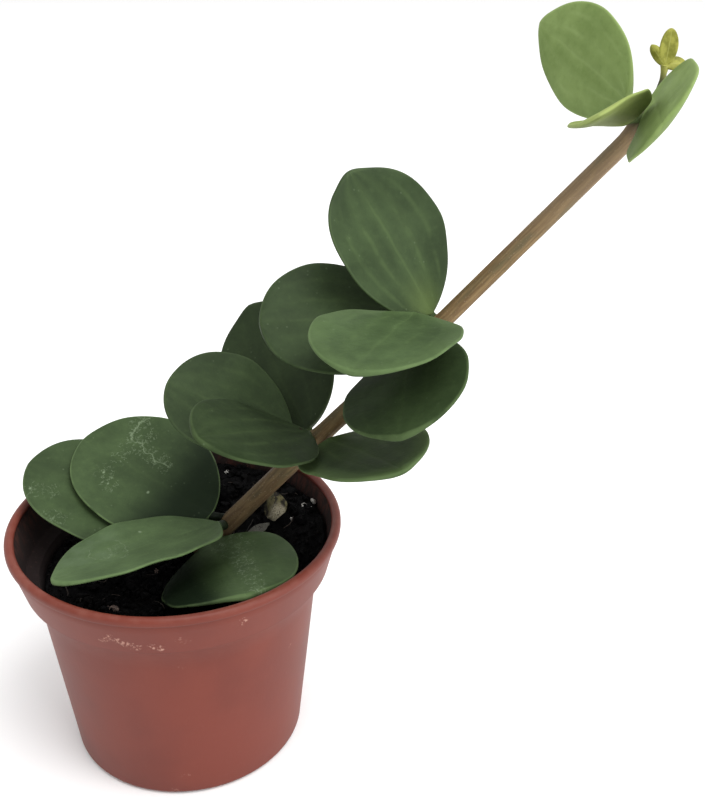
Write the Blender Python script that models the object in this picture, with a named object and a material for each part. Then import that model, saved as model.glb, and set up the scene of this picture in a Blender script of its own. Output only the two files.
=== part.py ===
"""A small trailing houseplant with round fleshy leaves, leaning out of a 70 mm nursery pot.

Metres, +Z up. The origin is the centre of the pot's flat foot. The stem leans towards +X.
"""

import bpy
import bmesh
import math
import random
from mathutils import Vector

MM = 0.001
GAP = 0.3 * MM

# Pot
POT_HEIGHT = 53.3 * MM
LIP_RADIUS = 35.0 * MM
LIP_HEIGHT = 1.8 * MM
LIP_WIDTH = 2.0 * MM
COLLAR_DEPTH = 9.8 * MM
COLLAR_TOP_RADIUS = 34.5 * MM
COLLAR_FOOT_RADIUS = 32.5 * MM
LEDGE_HEIGHT = 1.0 * MM
LEDGE_INSIDE_RISE = 0.8 * MM
BODY_TOP_RADIUS = 29.9 * MM
FOOT_RADIUS = 25.3 * MM
FOOT_ROUNDING = 1.5 * MM
WALL = 0.9 * MM
FLOOR = 1.0 * MM
DRAIN_RING_INNER = 13.5 * MM
DRAIN_RING_OUTER = 20.0 * MM
DRAIN_RING_RISE = 1.0 * MM
DRAIN_HOLES = 6
DRAIN_HOLE_RADIUS = 2.4 * MM
NOTCH_WIDTH = 7.0 * MM
NOTCH_HEIGHT = 0.7 * MM
NOTCH_TURN = math.radians(-82)
POT_SIDES = 48

# Soil: level at the front and left, banked up towards the back right
SOIL_LEVEL = 41.3 * MM
BANK_RISE = 7.0 * MM
BANK_HEADING = math.radians(60)
BANK_START = 2.0 * MM
BANK_END = 26.0 * MM
SOIL_CLEARANCE = 0.8 * MM
SOIL_RINGS = 13
CRUMB_HEIGHT = 0.5 * MM
CALM_RADIUS = 6.5 * MM
CALM_FADE = 2.5 * MM
ROOTED_DEPTH = 18.0 * MM

# Stem: the middle of each whorl, and the growing end
LOW_NODE = Vector((9.5, 5.0, 47.5)) * MM
SECOND_NODE = Vector((28.5, 3.0, 69.0)) * MM
THIRD_NODE = Vector((53.0, 1.0, 95.5)) * MM
TOP_NODE = Vector((88.5, 0.0, 135.0)) * MM
STEM_END = Vector((90.3, 0.0, 138.6)) * MM
STEM_SIDES = 12
NODE_SWELLING = 0.4 * MM
NODE_SWELLING_LENGTH = 2.2 * MM
STEM_RADII = (
    (LOW_NODE, 2.1 * MM),
    (SECOND_NODE, 1.95 * MM),
    (THIRD_NODE, 1.7 * MM),
    (TOP_NODE, 1.65 * MM),
    (STEM_END, 1.1 * MM),
)
BURIED_END = 0.8 * MM

# Leaves
LEAF_SIDES = 14
BLADE_RINGS = 14
STALK_RINGS = 4
STALK_RADIUS = 1.0 * MM
POINT = 1.1 * MM
BLUNT_POINT = 0.25 * MM
POINT_WIDTH = 3.2 * MM
THICK = 1.5 * MM
TOP_THICK = 1.3 * MM

# The growing tip, above the stem's end
SHOOT_BEND = Vector((91.6, 0.0, 142.9)) * MM
SHOOT_JOINT = Vector((91.7, 0.0, 146.0)) * MM
LEAFLET_THICK = 0.7 * MM
LEAFLET_CUP = 0.4 * MM
LEAFLET_STALK = 0.45 * MM
LEAFLET_POINT = 0.3 * MM
LEAFLET_ROOT = 0.6 * MM

# Chips on the soil
CHIP_PLACE = (20.5 * MM, 11.0 * MM)
FLAKE_PLACE = (17.0 * MM, 7.3 * MM)
CHIP_ROUGHNESS = 0.16
CHIP_BASE = -0.38


def clear_scene():
    for thing in list(bpy.data.objects):
        bpy.data.objects.remove(thing, do_unlink=True)


def make_material(name, colour, roughness):
    """A plain finish; the colour is linear RGB."""
    material = bpy.data.materials.new(name)
    material.use_nodes = True
    shader = material.node_tree.nodes["Principled BSDF"]
    shader.inputs["Base Color"].default_value = (*colour, 1.0)
    shader.inputs["Roughness"].default_value = roughness
    shader.inputs["Metallic"].default_value = 0.0
    return material


def add_object(name, shape, material, crease=math.radians(40)):
    """Turns a bmesh into a named object with smooth faces and sharp creases."""
    mesh = bpy.data.meshes.new(name)
    shape.normal_update()
    shape.to_mesh(mesh)
    shape.free()
    mesh.shade_smooth()
    mesh.set_sharp_from_angle(angle=crease)
    mesh.materials.append(material)
    thing = bpy.data.objects.new(name, mesh)
    bpy.context.scene.collection.objects.link(thing)
    return thing


def apply_boolean(target, cutter, operation="DIFFERENCE"):
    """Cuts or joins one mesh and removes the helper."""
    modifier = target.modifiers.new("boolean", "BOOLEAN")
    modifier.operation = operation
    modifier.solver = "EXACT"
    modifier.object = cutter
    bpy.context.view_layer.objects.active = target
    bpy.ops.object.modifier_apply(modifier=modifier.name)
    bpy.data.objects.remove(cutter, do_unlink=True)


def arc_points(centre, radius, start, stop, steps):
    """Points of a round corner in the (radius, height) plane, angles in degrees."""
    angles = [math.radians(start + (stop - start) * i / steps) for i in range(steps + 1)]
    return [(centre[0] + radius * math.cos(a), centre[1] + radius * math.sin(a)) for a in angles]


def turn_profile(profile, sides):
    """Turns a closed (radius, height) outline round the Z axis; a point on the axis closes its end."""
    shape = bmesh.new()
    rings = []
    for radius, height in profile:
        if radius == 0.0:
            rings.append([shape.verts.new((0.0, 0.0, height))])
            continue
        turns = [2 * math.pi * i / sides for i in range(sides)]
        rings.append([shape.verts.new((radius * math.cos(a), radius * math.sin(a), height)) for a in turns])
    for lower, upper in zip(rings, rings[1:]):
        for i in range(sides):
            j = (i + 1) % sides
            if len(lower) == 1:
                shape.faces.new((lower[0], upper[j], upper[i]))
            elif len(upper) == 1:
                shape.faces.new((lower[i], lower[j], upper[0]))
            else:
                shape.faces.new((lower[i], lower[j], upper[j], upper[i]))
    return shape


def inside_points():
    """The inside of the wall as (radius, height), from under the lip down to the foot's corner."""
    collar_foot = POT_HEIGHT - COLLAR_DEPTH
    lip_foot = POT_HEIGHT - LIP_HEIGHT
    return [
        (COLLAR_TOP_RADIUS - WALL, lip_foot - 0.6 * MM),
        (COLLAR_FOOT_RADIUS - WALL, collar_foot + LEDGE_INSIDE_RISE),
        (BODY_TOP_RADIUS - WALL, collar_foot - LEDGE_HEIGHT + LEDGE_INSIDE_RISE),
        (FOOT_RADIUS - WALL - 0.2 * MM, FOOT_ROUNDING),
    ]


def pot_profile():
    """The wall's outline from the foot's centre, up the outside, over the lip and down the inside."""
    collar_foot = POT_HEIGHT - COLLAR_DEPTH
    lip_foot = POT_HEIGHT - LIP_HEIGHT
    lip_round = LIP_WIDTH / 2
    outside = [(0.0, 0.0), (DRAIN_RING_INNER, 0.0)]
    outside += [(DRAIN_RING_INNER + 0.4 * MM, DRAIN_RING_RISE), (DRAIN_RING_OUTER, DRAIN_RING_RISE)]
    outside += [(DRAIN_RING_OUTER + 0.4 * MM, 0.0)]
    foot_centre = (FOOT_RADIUS - FOOT_ROUNDING, FOOT_ROUNDING)
    outside += arc_points(foot_centre, FOOT_ROUNDING, -90, -6, 4)
    outside += [(BODY_TOP_RADIUS, collar_foot - LEDGE_HEIGHT)]
    outside += [(COLLAR_FOOT_RADIUS - 0.3 * MM, collar_foot - 0.1 * MM)]
    outside += [(COLLAR_FOOT_RADIUS, collar_foot + 0.3 * MM)]
    outside += [(COLLAR_TOP_RADIUS, lip_foot - 0.1 * MM), (LIP_RADIUS - 0.4 * MM, lip_foot)]
    outside += [(LIP_RADIUS, lip_foot + 0.4 * MM)]
    outside += arc_points((LIP_RADIUS - lip_round, POT_HEIGHT - lip_round), lip_round, 10, 170, 5)
    inside = inside_points() + [(FOOT_RADIUS - FOOT_ROUNDING, FLOOR)]
    inside += [(DRAIN_RING_OUTER + 1.0 * MM, FLOOR), (DRAIN_RING_OUTER, FLOOR + DRAIN_RING_RISE)]
    inside += [(DRAIN_RING_INNER, FLOOR + DRAIN_RING_RISE), (DRAIN_RING_INNER - 0.8 * MM, FLOOR), (0.0, FLOOR)]
    return outside + inside


def cylinder_cutter(name, radius, low, high, sides=16):
    """A closed cylinder between two points, as a cutter."""
    axis = high - low
    shape = bmesh.new()
    bmesh.ops.create_cone(
        shape, cap_ends=True, segments=sides, radius1=radius, radius2=radius, depth=axis.length
    )
    turn = Vector((0, 0, 1)).rotation_difference(axis).to_matrix().to_4x4()
    bmesh.ops.transform(shape, matrix=turn, verts=shape.verts)
    bmesh.ops.translate(shape, vec=(low + high) / 2, verts=shape.verts)
    cutter = add_object(name, shape, bpy.data.materials["pot plastic"])
    cutter.hide_render = True
    cutter.display_type = "WIRE"
    return cutter


def notch_cutter(name, turn):
    """A flat box that opens the foot ring at one drain hole."""
    shape = bmesh.new()
    bmesh.ops.create_cube(shape, size=1.0)
    length = FOOT_RADIUS - DRAIN_RING_OUTER + 4 * MM
    bmesh.ops.scale(shape, vec=(length, NOTCH_WIDTH, 2 * NOTCH_HEIGHT), verts=shape.verts)
    middle = DRAIN_RING_OUTER + length / 2 - 1 * MM
    bmesh.ops.translate(shape, vec=(middle, 0, 0), verts=shape.verts)
    for corner in shape.verts:
        x, y = corner.co.x, corner.co.y
        corner.co.x = x * math.cos(turn) - y * math.sin(turn)
        corner.co.y = x * math.sin(turn) + y * math.cos(turn)
    cutter = add_object(name, shape, bpy.data.materials["pot plastic"])
    cutter.hide_render = True
    cutter.display_type = "WIRE"
    return cutter


def make_pot():
    """One thin moulding: body, collar, rolled lip, and a raised ring under the floor with drain holes."""
    plastic = make_material("pot plastic", (0.28, 0.085, 0.06), 0.5)
    pot = add_object("pot", turn_profile(pot_profile(), POT_SIDES), plastic)
    hole_circle = (DRAIN_RING_INNER + DRAIN_RING_OUTER) / 2
    for i in range(DRAIN_HOLES):
        turn = NOTCH_TURN + 2 * math.pi * i / DRAIN_HOLES
        place = Vector((hole_circle * math.cos(turn), hole_circle * math.sin(turn), 0))
        low = place - Vector((0, 0, 2 * MM))
        high = place + Vector((0, 0, 4 * MM))
        apply_boolean(pot, cylinder_cutter("drain cutter", DRAIN_HOLE_RADIUS, low, high))
        apply_boolean(pot, notch_cutter("notch cutter", turn))
    return pot


def stem_direction():
    return (SECOND_NODE - LOW_NODE).normalized()


def bank_height(x, y):
    """The soil's level without its crumbs."""
    along = x * math.cos(BANK_HEADING) + y * math.sin(BANK_HEADING)
    share = min(1.0, max(0.0, (along - BANK_START) / (BANK_END - BANK_START)))
    return SOIL_LEVEL + BANK_RISE * share**2 * (3 - 2 * share)


def soil_height(x, y):
    """The crumbly surface: low waves crossed at several scales, calmed under the chips."""
    u, v = x / MM, y / MM
    waves = math.sin(1.15 * u + 0.7) * math.sin(1.3 * v + 0.2)
    waves += 0.7 * math.sin(2.1 * u - 1.4 * v + 1.0) * math.sin(1.7 * v + 0.6 * u)
    waves += 0.5 * math.sin(0.35 * u + 1.9) * math.cos(0.3 * v - 0.4)
    calm = 1.0
    for place in (CHIP_PLACE, FLAKE_PLACE):
        away = math.hypot(x - place[0], y - place[1])
        calm = min(calm, max(0.0, (away - CALM_RADIUS) / CALM_FADE))
    return bank_height(x, y) + CRUMB_HEIGHT * waves * calm


def soil_radius(height):
    """How far out the soil reaches at a height: just short of the inside of the wall."""
    points = inside_points()
    for (upper_radius, upper), (lower_radius, lower) in zip(points, points[1:]):
        if height >= lower:
            break
    share = (height - lower) / (upper - lower)
    return lower_radius + (upper_radius - lower_radius) * share - SOIL_CLEARANCE


def soil_edge(a):
    """Where the soil's top meets the wall at one bearing, as (radius, height)."""
    radius = soil_radius(SOIL_LEVEL)
    for _ in range(4):
        height = soil_height(radius * math.cos(a), radius * math.sin(a))
        radius = soil_radius(height)
    return radius, height


def make_soil():
    """Moist potting mix that fills the pot, with a crumbly top and a plain hole for the stem."""
    mix = make_material("soil", (0.012, 0.009, 0.007), 0.95)
    shape = bmesh.new()
    turns = [2 * math.pi * i / POT_SIDES for i in range(POT_SIDES)]
    base_height = FLOOR + DRAIN_RING_RISE + GAP
    base_radius = soil_radius(base_height) - 1.0 * MM
    base = [(base_radius * math.cos(a), base_radius * math.sin(a), base_height) for a in turns]
    rings = [[shape.verts.new(place) for place in base]]
    shape.faces.new(rings[0][::-1])
    ledge_high, ledge_low = (height for _, height in inside_points()[1:3])
    for ledge, below_edge in ((ledge_low, 2 * GAP), (ledge_high, GAP)):
        ring = []
        for a in turns:
            height = min(ledge, soil_edge(a)[1] - below_edge)
            radius = soil_radius(height)
            ring.append(shape.verts.new((radius * math.cos(a), radius * math.sin(a), height)))
        rings.append(ring)
    for k in range(SOIL_RINGS):
        ring = []
        for a in turns:
            edge_radius, height = soil_edge(a)
            radius = edge_radius * (1 - k / SOIL_RINGS)
            x, y = radius * math.cos(a), radius * math.sin(a)
            ring.append(shape.verts.new((x, y, height if k == 0 else soil_height(x, y))))
        rings.append(ring)
    middle = shape.verts.new((0, 0, soil_height(0, 0)))
    for outer, inner in zip(rings, rings[1:]):
        for i in range(POT_SIDES):
            j = (i + 1) % POT_SIDES
            shape.faces.new((outer[i], outer[j], inner[j], inner[i]))
    for i in range(POT_SIDES):
        shape.faces.new((rings[-1][i], rings[-1][(i + 1) % POT_SIDES], middle))
    soil = add_object("soil", shape, mix, crease=math.radians(60))
    bottom = LOW_NODE - stem_direction() * (stem_buried_length() + BURIED_END + GAP)
    radius = STEM_RADII[0][1] + GAP
    apply_boolean(soil, cylinder_cutter("stem hole cutter", radius, bottom, LOW_NODE))
    return soil


def stem_buried_length():
    """From the lowest node down the slope to the stem's buried end."""
    return (LOW_NODE.z - SOIL_LEVEL) / stem_direction().z + ROOTED_DEPTH


def stem_radius(place):
    """The radius between whorls, tapering upwards, with a swelling at each node."""
    heights = [node.z for node, _ in STEM_RADII]
    radii = [radius for _, radius in STEM_RADII]
    radius = radii[0]
    for i in range(len(heights) - 1):
        if place.z >= heights[i]:
            share = min(1.0, (place.z - heights[i]) / (heights[i + 1] - heights[i]))
            radius = radii[i] + (radii[i + 1] - radii[i]) * share
    for node in (SECOND_NODE, THIRD_NODE, TOP_NODE):
        away = (place - node).length
        radius += NODE_SWELLING * math.exp(-((away / NODE_SWELLING_LENGTH) ** 2))
    return radius


def ring_around(centre, along, radius, sides, up=Vector((0, 1, 0))):
    """A circle of points square to a direction."""
    side = up.cross(along).normalized()
    other = along.cross(side).normalized()
    turns = [2 * math.pi * i / sides for i in range(sides)]
    return [centre + side * (radius * math.cos(a)) + other * (radius * math.sin(a)) for a in turns]


def loft(shape, rings, first_point=None, last_point=None):
    """Skins rings of equal count with triangles split alike on both faces, and closes both ends."""
    made = [[shape.verts.new(p) for p in ring] for ring in rings]
    sides = len(made[0])
    half = sides // 2
    for a, b in zip(made, made[1:]):
        for i in range(sides):
            j = (i + 1) % sides
            if i < half:
                shape.faces.new((a[i], a[j], b[j]))
                shape.faces.new((a[i], b[j], b[i]))
            else:
                shape.faces.new((a[i], a[j], b[i]))
                shape.faces.new((a[j], b[j], b[i]))
    if first_point is None:
        shape.faces.new(made[0][::-1])
    else:
        tip = shape.verts.new(first_point)
        for i in range(sides):
            shape.faces.new((made[0][(i + 1) % sides], made[0][i], tip))
    if last_point is None:
        shape.faces.new(made[-1])
    else:
        tip = shape.verts.new(last_point)
        for i in range(sides):
            shape.faces.new((made[-1][i], made[-1][(i + 1) % sides], tip))


def stem_path():
    """Points along the stem's middle from its buried end to its tip, closer together at the nodes."""
    root = LOW_NODE - stem_direction() * stem_buried_length()
    stops = [root, LOW_NODE, SECOND_NODE, THIRD_NODE, TOP_NODE, STEM_END]
    points = [stops[0]]
    for a, b in zip(stops, stops[1:]):
        length = (b - a).length
        near = min(0.45, 3.5 * MM / length)
        shares = (near / 2, near, 0.5, 1 - near, 1 - near / 2, 1.0)
        if length < 8 * MM:
            shares = (0.5, 1.0)
        points += [a.lerp(b, share) for share in shares]
    return points


def make_stem():
    """One long brown stem, rooted in the soil, a little swollen where each whorl stands."""
    bark = make_material("stem", (0.17, 0.1, 0.062), 0.6)
    points = stem_path()
    rings = []
    for i, point in enumerate(points):
        before = points[max(0, i - 1)]
        after = points[min(len(points) - 1, i + 1)]
        along = (after - before).normalized()
        rings.append(ring_around(point, along, stem_radius(point), STEM_SIDES))
    shape = bmesh.new()
    tip = STEM_END + (STEM_END - TOP_NODE).normalized() * 0.6 * MM
    loft(shape, rings, points[0] - stem_direction() * BURIED_END, tip)
    return add_object("stem", shape, bark)


def leaf_axes(heading, lift, roll):
    """A leaf's own directions: along the midrib, across to the right, and out of its upper face."""
    h, e, r = math.radians(heading), math.radians(lift), math.radians(roll)
    along = Vector((math.cos(h) * math.cos(e), math.sin(h) * math.cos(e), math.sin(e)))
    level = Vector((math.sin(h), -math.cos(h), 0.0))
    upward = level.cross(along)
    across = level * math.cos(r) + upward * math.sin(r)
    face = upward * math.cos(r) - level * math.sin(r)
    return along, across, face


def blade_half_width(share, wide, base_fullness, tip_fullness):
    """A rounded outline: fuller or slimmer towards the stalk and towards the point."""
    fullness = base_fullness if share < 0.5 else tip_fullness
    return wide / 2 * max(0.0, 1 - abs(2 * share - 1) ** fullness) ** (1 / fullness)


def section(centre, across, face, half_width, thick, cup, lean, full_width):
    """One slice through a leaf: a flat rounded lens, dished by cup and leaning by an angle."""
    ring = []
    for i in range(LEAF_SIDES):
        a = -2 * math.pi * i / LEAF_SIDES
        x = half_width * math.cos(a)
        z = thick / 2 * math.copysign(abs(math.sin(a)) ** 0.7, math.sin(a))
        dish = cup * (x / (full_width / 2)) ** 2
        slope = 2 * cup * x / (full_width / 2) ** 2
        tilt = math.atan(slope)
        flat_x = x - z * math.sin(tilt)
        flat_z = dish + z * math.cos(tilt)
        turned_x = flat_x * math.cos(lean) - flat_z * math.sin(lean)
        turned_z = flat_z * math.cos(lean) + flat_x * math.sin(lean)
        ring.append(centre + across * turned_x + face * turned_z)
    return ring


def stalk_root(node, around, up):
    """A point just off the stem's skin: around the stem in degrees, and up along it from the node."""
    along = (TOP_NODE - LOW_NODE).normalized()
    under = Vector((0, 1, 0)).cross(along).normalized()
    back = along.cross(under)
    a = math.radians(around)
    outward = under * math.cos(a) + back * math.sin(a)
    centre = node + along * up
    return centre + outward * (stem_radius(centre) + GAP), outward


def smooth_path(start, start_way, end, end_way, shares):
    """A curve that leaves one point and reaches another in given directions."""
    reach = (end - start).length
    points = []
    for t in shares:
        a = 2 * t**3 - 3 * t**2 + 1
        b = t**3 - 2 * t**2 + t
        c = -2 * t**3 + 3 * t**2
        d = t**3 - t**2
        points.append(start * a + start_way * (b * reach) + end * c + end_way * (d * reach))
    return points


def add_leaf_shape(shape, root, outward, base, axes, long, wide, thick, cup, curl, base_full, full, twist,
                   stalk=STALK_RADIUS, point=POINT):
    """A stalk and a blade in one skin, from the stem to the point."""
    along, across, face = axes
    rings = []
    stalk_shares = [i / STALK_RINGS for i in range(STALK_RINGS)]
    stalk_points = smooth_path(root, outward, base, along, stalk_shares)
    for share, place in zip(stalk_shares, stalk_points):
        way = outward.lerp(along, share).normalized()
        side = (across - way * across.dot(way)).normalized()
        rings.append(section(place, side, side.cross(way), stalk, 2 * stalk, 0.0, 0.0, wide))
    for k in range(BLADE_RINGS):
        share = (1 - math.cos(math.pi * (k + 0.6) / (BLADE_RINGS + 0.2))) / 2
        half = blade_half_width(share, wide, base_full, full)
        reach = long * share
        if share > 0.5:
            reach += point * math.exp(-((half / POINT_WIDTH) ** 2))
        centre = base + along * reach - face * (curl * (reach / long) ** 2)
        fall = math.atan(2 * curl * reach / long**2)
        slope_face = face * math.cos(fall) + along * math.sin(fall)
        lean = math.radians(twist) * (share - 0.5)
        slice_thick = thick
        if share < 0.5:
            slice_thick += (2 * stalk - thick) * math.exp(-((share / 0.07) ** 2))
            half = max(half, stalk)
        else:
            slice_thick *= min(1.0, 0.45 + half / (3.5 * thick))
        rings.append(section(centre, across, slope_face, half, slice_thick, cup, lean, wide))
    end = long + point
    tip = base + along * end - face * (curl * (end / long) ** 2)
    loft(shape, rings, root, tip)


def make_leaf(name, node, around, up, reach, heading, lift, roll, long, wide, cup=1.5, curl=1.5,
              base_full=1.9, full=2.1, twist=0.0, thick=THICK, point=POINT, material="leaf"):
    """One leaf. Lengths are in millimetres; reach is the blade's foot as seen from its node."""
    axes = leaf_axes(heading, lift, roll)
    root, outward = stalk_root(node, around, up * MM)
    base = node + Vector(reach) * MM
    shape = bmesh.new()
    add_leaf_shape(shape, root, outward, base, axes, long * MM, wide * MM, thick, cup * MM, curl * MM,
                   base_full, full, twist, point=point)
    return add_object(name, shape, bpy.data.materials[material], crease=math.radians(70))


def make_low_whorl():
    """Four leaves just over the soil: three spread over the pot's left, one low towards the front."""
    make_leaf("leaf_low_left", LOW_NODE, 185, -2.5, (-7.5, 0.5, 0.0), 174, 22, 14, 37, 28.5,
              cup=1, curl=1, full=2.2, point=BLUNT_POINT)
    make_leaf("leaf_low_back", LOW_NODE, 165, 1.5, (-2.5, -0.5, 3.5), 158, 23, 22, 33.5, 29,
              cup=2, curl=2, twist=-8, point=BLUNT_POINT)
    make_leaf("leaf_low_front", LOW_NODE, 235, 1.5, (0, -8.5, 6.0), 217, 5, -11, 35.5, 24,
              cup=2, full=1.95, twist=-4)
    make_leaf("leaf_low_right", LOW_NODE, 265, -1.5, (-2.5, -4.5, -1.5), 291, 12, -11, 28.5, 28.5,
              cup=-1, curl=0, full=2.35, twist=19)


def make_second_whorl():
    """Four leaves: one back, one front, one upright behind, one to the right over the pot's edge."""
    make_leaf("leaf_second_left", SECOND_NODE, 215, -1.5, (-3.5, -2.0, 2.5), 179, 27, 21, 27.5, 26.5,
              cup=2.5, curl=0, base_full=1.8, full=2.15, twist=10, point=BLUNT_POINT)
    make_leaf("leaf_second_front", SECOND_NODE, 238, 1.8, (-0.5, -7.0, 6.5), 236, 25, 19, 32, 22,
              cup=0.75, curl=1.75, base_full=1.8, full=2.0, twist=8)
    make_leaf("leaf_second_upright", SECOND_NODE, 101, 0, (-0.5, 5.0, 1.0), 122, 36, 46, 32, 27,
              cup=1)
    make_leaf("leaf_second_right", SECOND_NODE, 300, 0.5, (4.5, -3.0, 2.5), 295, 18, -10, 31.5, 24.5,
              curl=0.75, full=2.15)


def make_third_whorl():
    """Four leaves: one left, one towards the front, one upright, one hanging under the stem."""
    make_leaf("leaf_third_left", THIRD_NODE, 195, -1.5, (-4.0, -0.5, 1.75), 192, 7, 29, 29.5, 27,
              cup=1.75, curl=1.25, full=2.15, twist=9, point=BLUNT_POINT)
    make_leaf("leaf_third_front", THIRD_NODE, 228, 1.5, (-4.0, -6.0, 5.5), 249, 8, 0, 31.5, 26.5,
              cup=2, curl=2, base_full=2.0, full=2.05)
    make_leaf("leaf_third_upright", THIRD_NODE, 155, 2.0, (-0.5, 1.5, 3.0), 162, 59, 32, 30.5, 25,
              cup=2, curl=0.75, base_full=1.8, full=2.2, twist=17)
    make_leaf("leaf_third_hanging", THIRD_NODE, 262, -1.5, (-4.0, -3.5, -1.5), 263, -4, -23, 31, 24.5,
              cup=0.5, curl=1, twist=10)


def make_top_whorl():
    """Three smaller, lighter leaves at the end of the stem."""
    make_leaf("leaf_top_upright", TOP_NODE, 130, 0.5, (-1.5, 4.0, 4.5), 125, 23, 88, 25.5, 20,
              cup=-0.5, curl=0.75, base_full=1.85, full=1.85, twist=-3, thick=TOP_THICK,
              material="young leaf")
    make_leaf("leaf_top_front", TOP_NODE, 205, 1.5, (-3.5, -2.0, 2.0), 246, 16, -28, 24.5, 14,
              base_full=2.1, full=1.9, twist=-14, thick=TOP_THICK, material="young leaf")
    make_leaf("leaf_top_right", TOP_NODE, 270, 0.5, (1.5, -3.0, 6.0), 261, 0, -61, 21.5, 18.5,
              cup=0, curl=-0.5, base_full=2.4, full=2.6, twist=9, thick=TOP_THICK, point=BLUNT_POINT,
              material="young leaf")


def make_shoot():
    """The growing tip: a thin stalk that carries three tiny unfolding leaves, joined as one."""
    fresh = make_material("shoot", (0.4, 0.42, 0.07), 0.5)
    start = STEM_END + Vector((0.75, 0.0, 1.2)) * MM
    stalk = bmesh.new()
    rings = []
    for place, way, radius in (
        (start, SHOOT_BEND - start, 0.75),
        (SHOOT_BEND, SHOOT_JOINT - start, 0.55),
        (SHOOT_JOINT, SHOOT_JOINT - SHOOT_BEND, 0.75),
    ):
        rings.append(ring_around(place, way.normalized(), radius * MM, 8))
    loft(stalk, rings, None, SHOOT_JOINT + (SHOOT_JOINT - SHOOT_BEND).normalized() * 0.5 * MM)
    shoot = add_object("shoot", stalk, fresh)
    leaflets = (
        (0, 85, -90, 5.9, 3.2, 0.4),
        (180, 52, -78, 4.2, 1.9, 0.3),
        (0, 10, -45, 3.7, 2.8, 0.8),
    )
    for heading, lift, roll, long, wide, curl in leaflets:
        axes = leaf_axes(heading, lift, roll)
        shape = bmesh.new()
        add_leaf_shape(shape, SHOOT_JOINT - axes[0] * LEAFLET_ROOT, axes[0], SHOOT_JOINT, axes,
                       long * MM, wide * MM, LEAFLET_THICK, LEAFLET_CUP, curl * MM,
                       1.9, 1.9, 0.0, LEAFLET_STALK, LEAFLET_POINT)
        apply_boolean(shoot, add_object("leaflet", shape, fresh), "UNION")
    return shoot


def make_chip(name, place, size, turn, colour, seed):
    """A small broken piece of bark whose underside follows the soil that it lies on."""
    draw = random.Random(seed)
    shape = bmesh.new()
    bmesh.ops.create_icosphere(shape, subdivisions=2, radius=0.5)
    for corner in shape.verts:
        corner.co *= 1 + CHIP_ROUGHNESS * (draw.random() - 0.5)
        corner.co.z = max(corner.co.z, CHIP_BASE)
    bmesh.ops.scale(shape, vec=[s * MM for s in size], verts=shape.verts)
    lowest = min(corner.co.z for corner in shape.verts)
    for corner in shape.verts:
        x = place[0] + corner.co.x * math.cos(turn) - corner.co.y * math.sin(turn)
        y = place[1] + corner.co.x * math.sin(turn) + corner.co.y * math.cos(turn)
        corner.co = (x, y, bank_height(x, y) + GAP + corner.co.z - lowest)
    return add_object(name, shape, make_material(name, colour, 0.9))


def main():
    clear_scene()
    make_pot()
    make_soil()
    make_stem()
    make_material("leaf", (0.035, 0.075, 0.03), 0.45)
    make_material("young leaf", (0.1, 0.2, 0.06), 0.45)
    make_low_whorl()
    make_second_whorl()
    make_third_whorl()
    make_top_whorl()
    make_shoot()
    make_chip("bark_chip", CHIP_PLACE, (5.4, 6.4, 4.8), math.radians(20), (0.42, 0.36, 0.2), 3)
    make_chip("bark_flake", FLAKE_PLACE, (5.6, 2.6, 1.4), math.radians(5), (0.2, 0.2, 0.17), 8)


main()
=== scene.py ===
"""The looks of a small potted plant: a trailing peperomia with round fleshy leaves.

Sizes are in millimetres until a piece is finished; +Z is up and the stem leans towards +X.
"""

import math
import random

import bpy
from mathutils import Matrix, Vector, noise


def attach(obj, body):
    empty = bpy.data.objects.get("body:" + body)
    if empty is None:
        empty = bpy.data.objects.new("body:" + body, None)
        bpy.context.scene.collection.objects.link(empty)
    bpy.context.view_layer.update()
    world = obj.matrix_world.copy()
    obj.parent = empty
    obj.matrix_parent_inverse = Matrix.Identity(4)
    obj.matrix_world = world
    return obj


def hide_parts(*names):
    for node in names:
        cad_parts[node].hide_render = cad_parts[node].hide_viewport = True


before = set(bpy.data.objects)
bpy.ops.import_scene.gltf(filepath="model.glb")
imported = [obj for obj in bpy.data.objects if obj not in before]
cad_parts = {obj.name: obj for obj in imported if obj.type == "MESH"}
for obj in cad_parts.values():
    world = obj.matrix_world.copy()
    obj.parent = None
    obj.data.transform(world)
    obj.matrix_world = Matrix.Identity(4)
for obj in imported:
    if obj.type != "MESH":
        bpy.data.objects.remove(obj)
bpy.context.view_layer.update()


# The view and the light. The plant stands on a plain white sheet and is seen from the front and
# a little above through a 50 mm lens. One broad soft lamp hangs over its right shoulder, and the
# white surroundings fill the shadows.
MM = 0.001
CAMERA_PLACE = Vector((37.45, -198.38, 180.28)) * MM
CAMERA_LENS = 50.0
CAMERA_SENSOR = 36.0
CAMERA_PITCH = 63.446
NEAREST_SEEN = 0.005
FARTHEST_SEEN = 50.0
SURROUNDING_LIGHT = 0.95
FLOOR_SIZE = 12.0
SHEET_WHITE = (0.96, 0.96, 0.96, 1.0)

camera_data = bpy.data.cameras.new("camera")
camera_data.lens = CAMERA_LENS
camera_data.sensor_width = CAMERA_SENSOR
camera_data.clip_start = NEAREST_SEEN
camera_data.clip_end = FARTHEST_SEEN
camera = bpy.data.objects.new("camera", camera_data)
camera.location = CAMERA_PLACE
camera.rotation_euler = (math.radians(CAMERA_PITCH), 0.0, 0.0)
bpy.context.scene.collection.objects.link(camera)
bpy.context.scene.camera = camera
bpy.context.scene.view_settings.view_transform = "Standard"

surroundings = bpy.data.worlds.new("white surroundings")
surroundings.use_nodes = True
surroundings.node_tree.nodes["Background"].inputs["Color"].default_value = (1.0, 1.0, 1.0, 1.0)
surroundings.node_tree.nodes["Background"].inputs["Strength"].default_value = SURROUNDING_LIGHT
bpy.context.scene.world = surroundings


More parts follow.
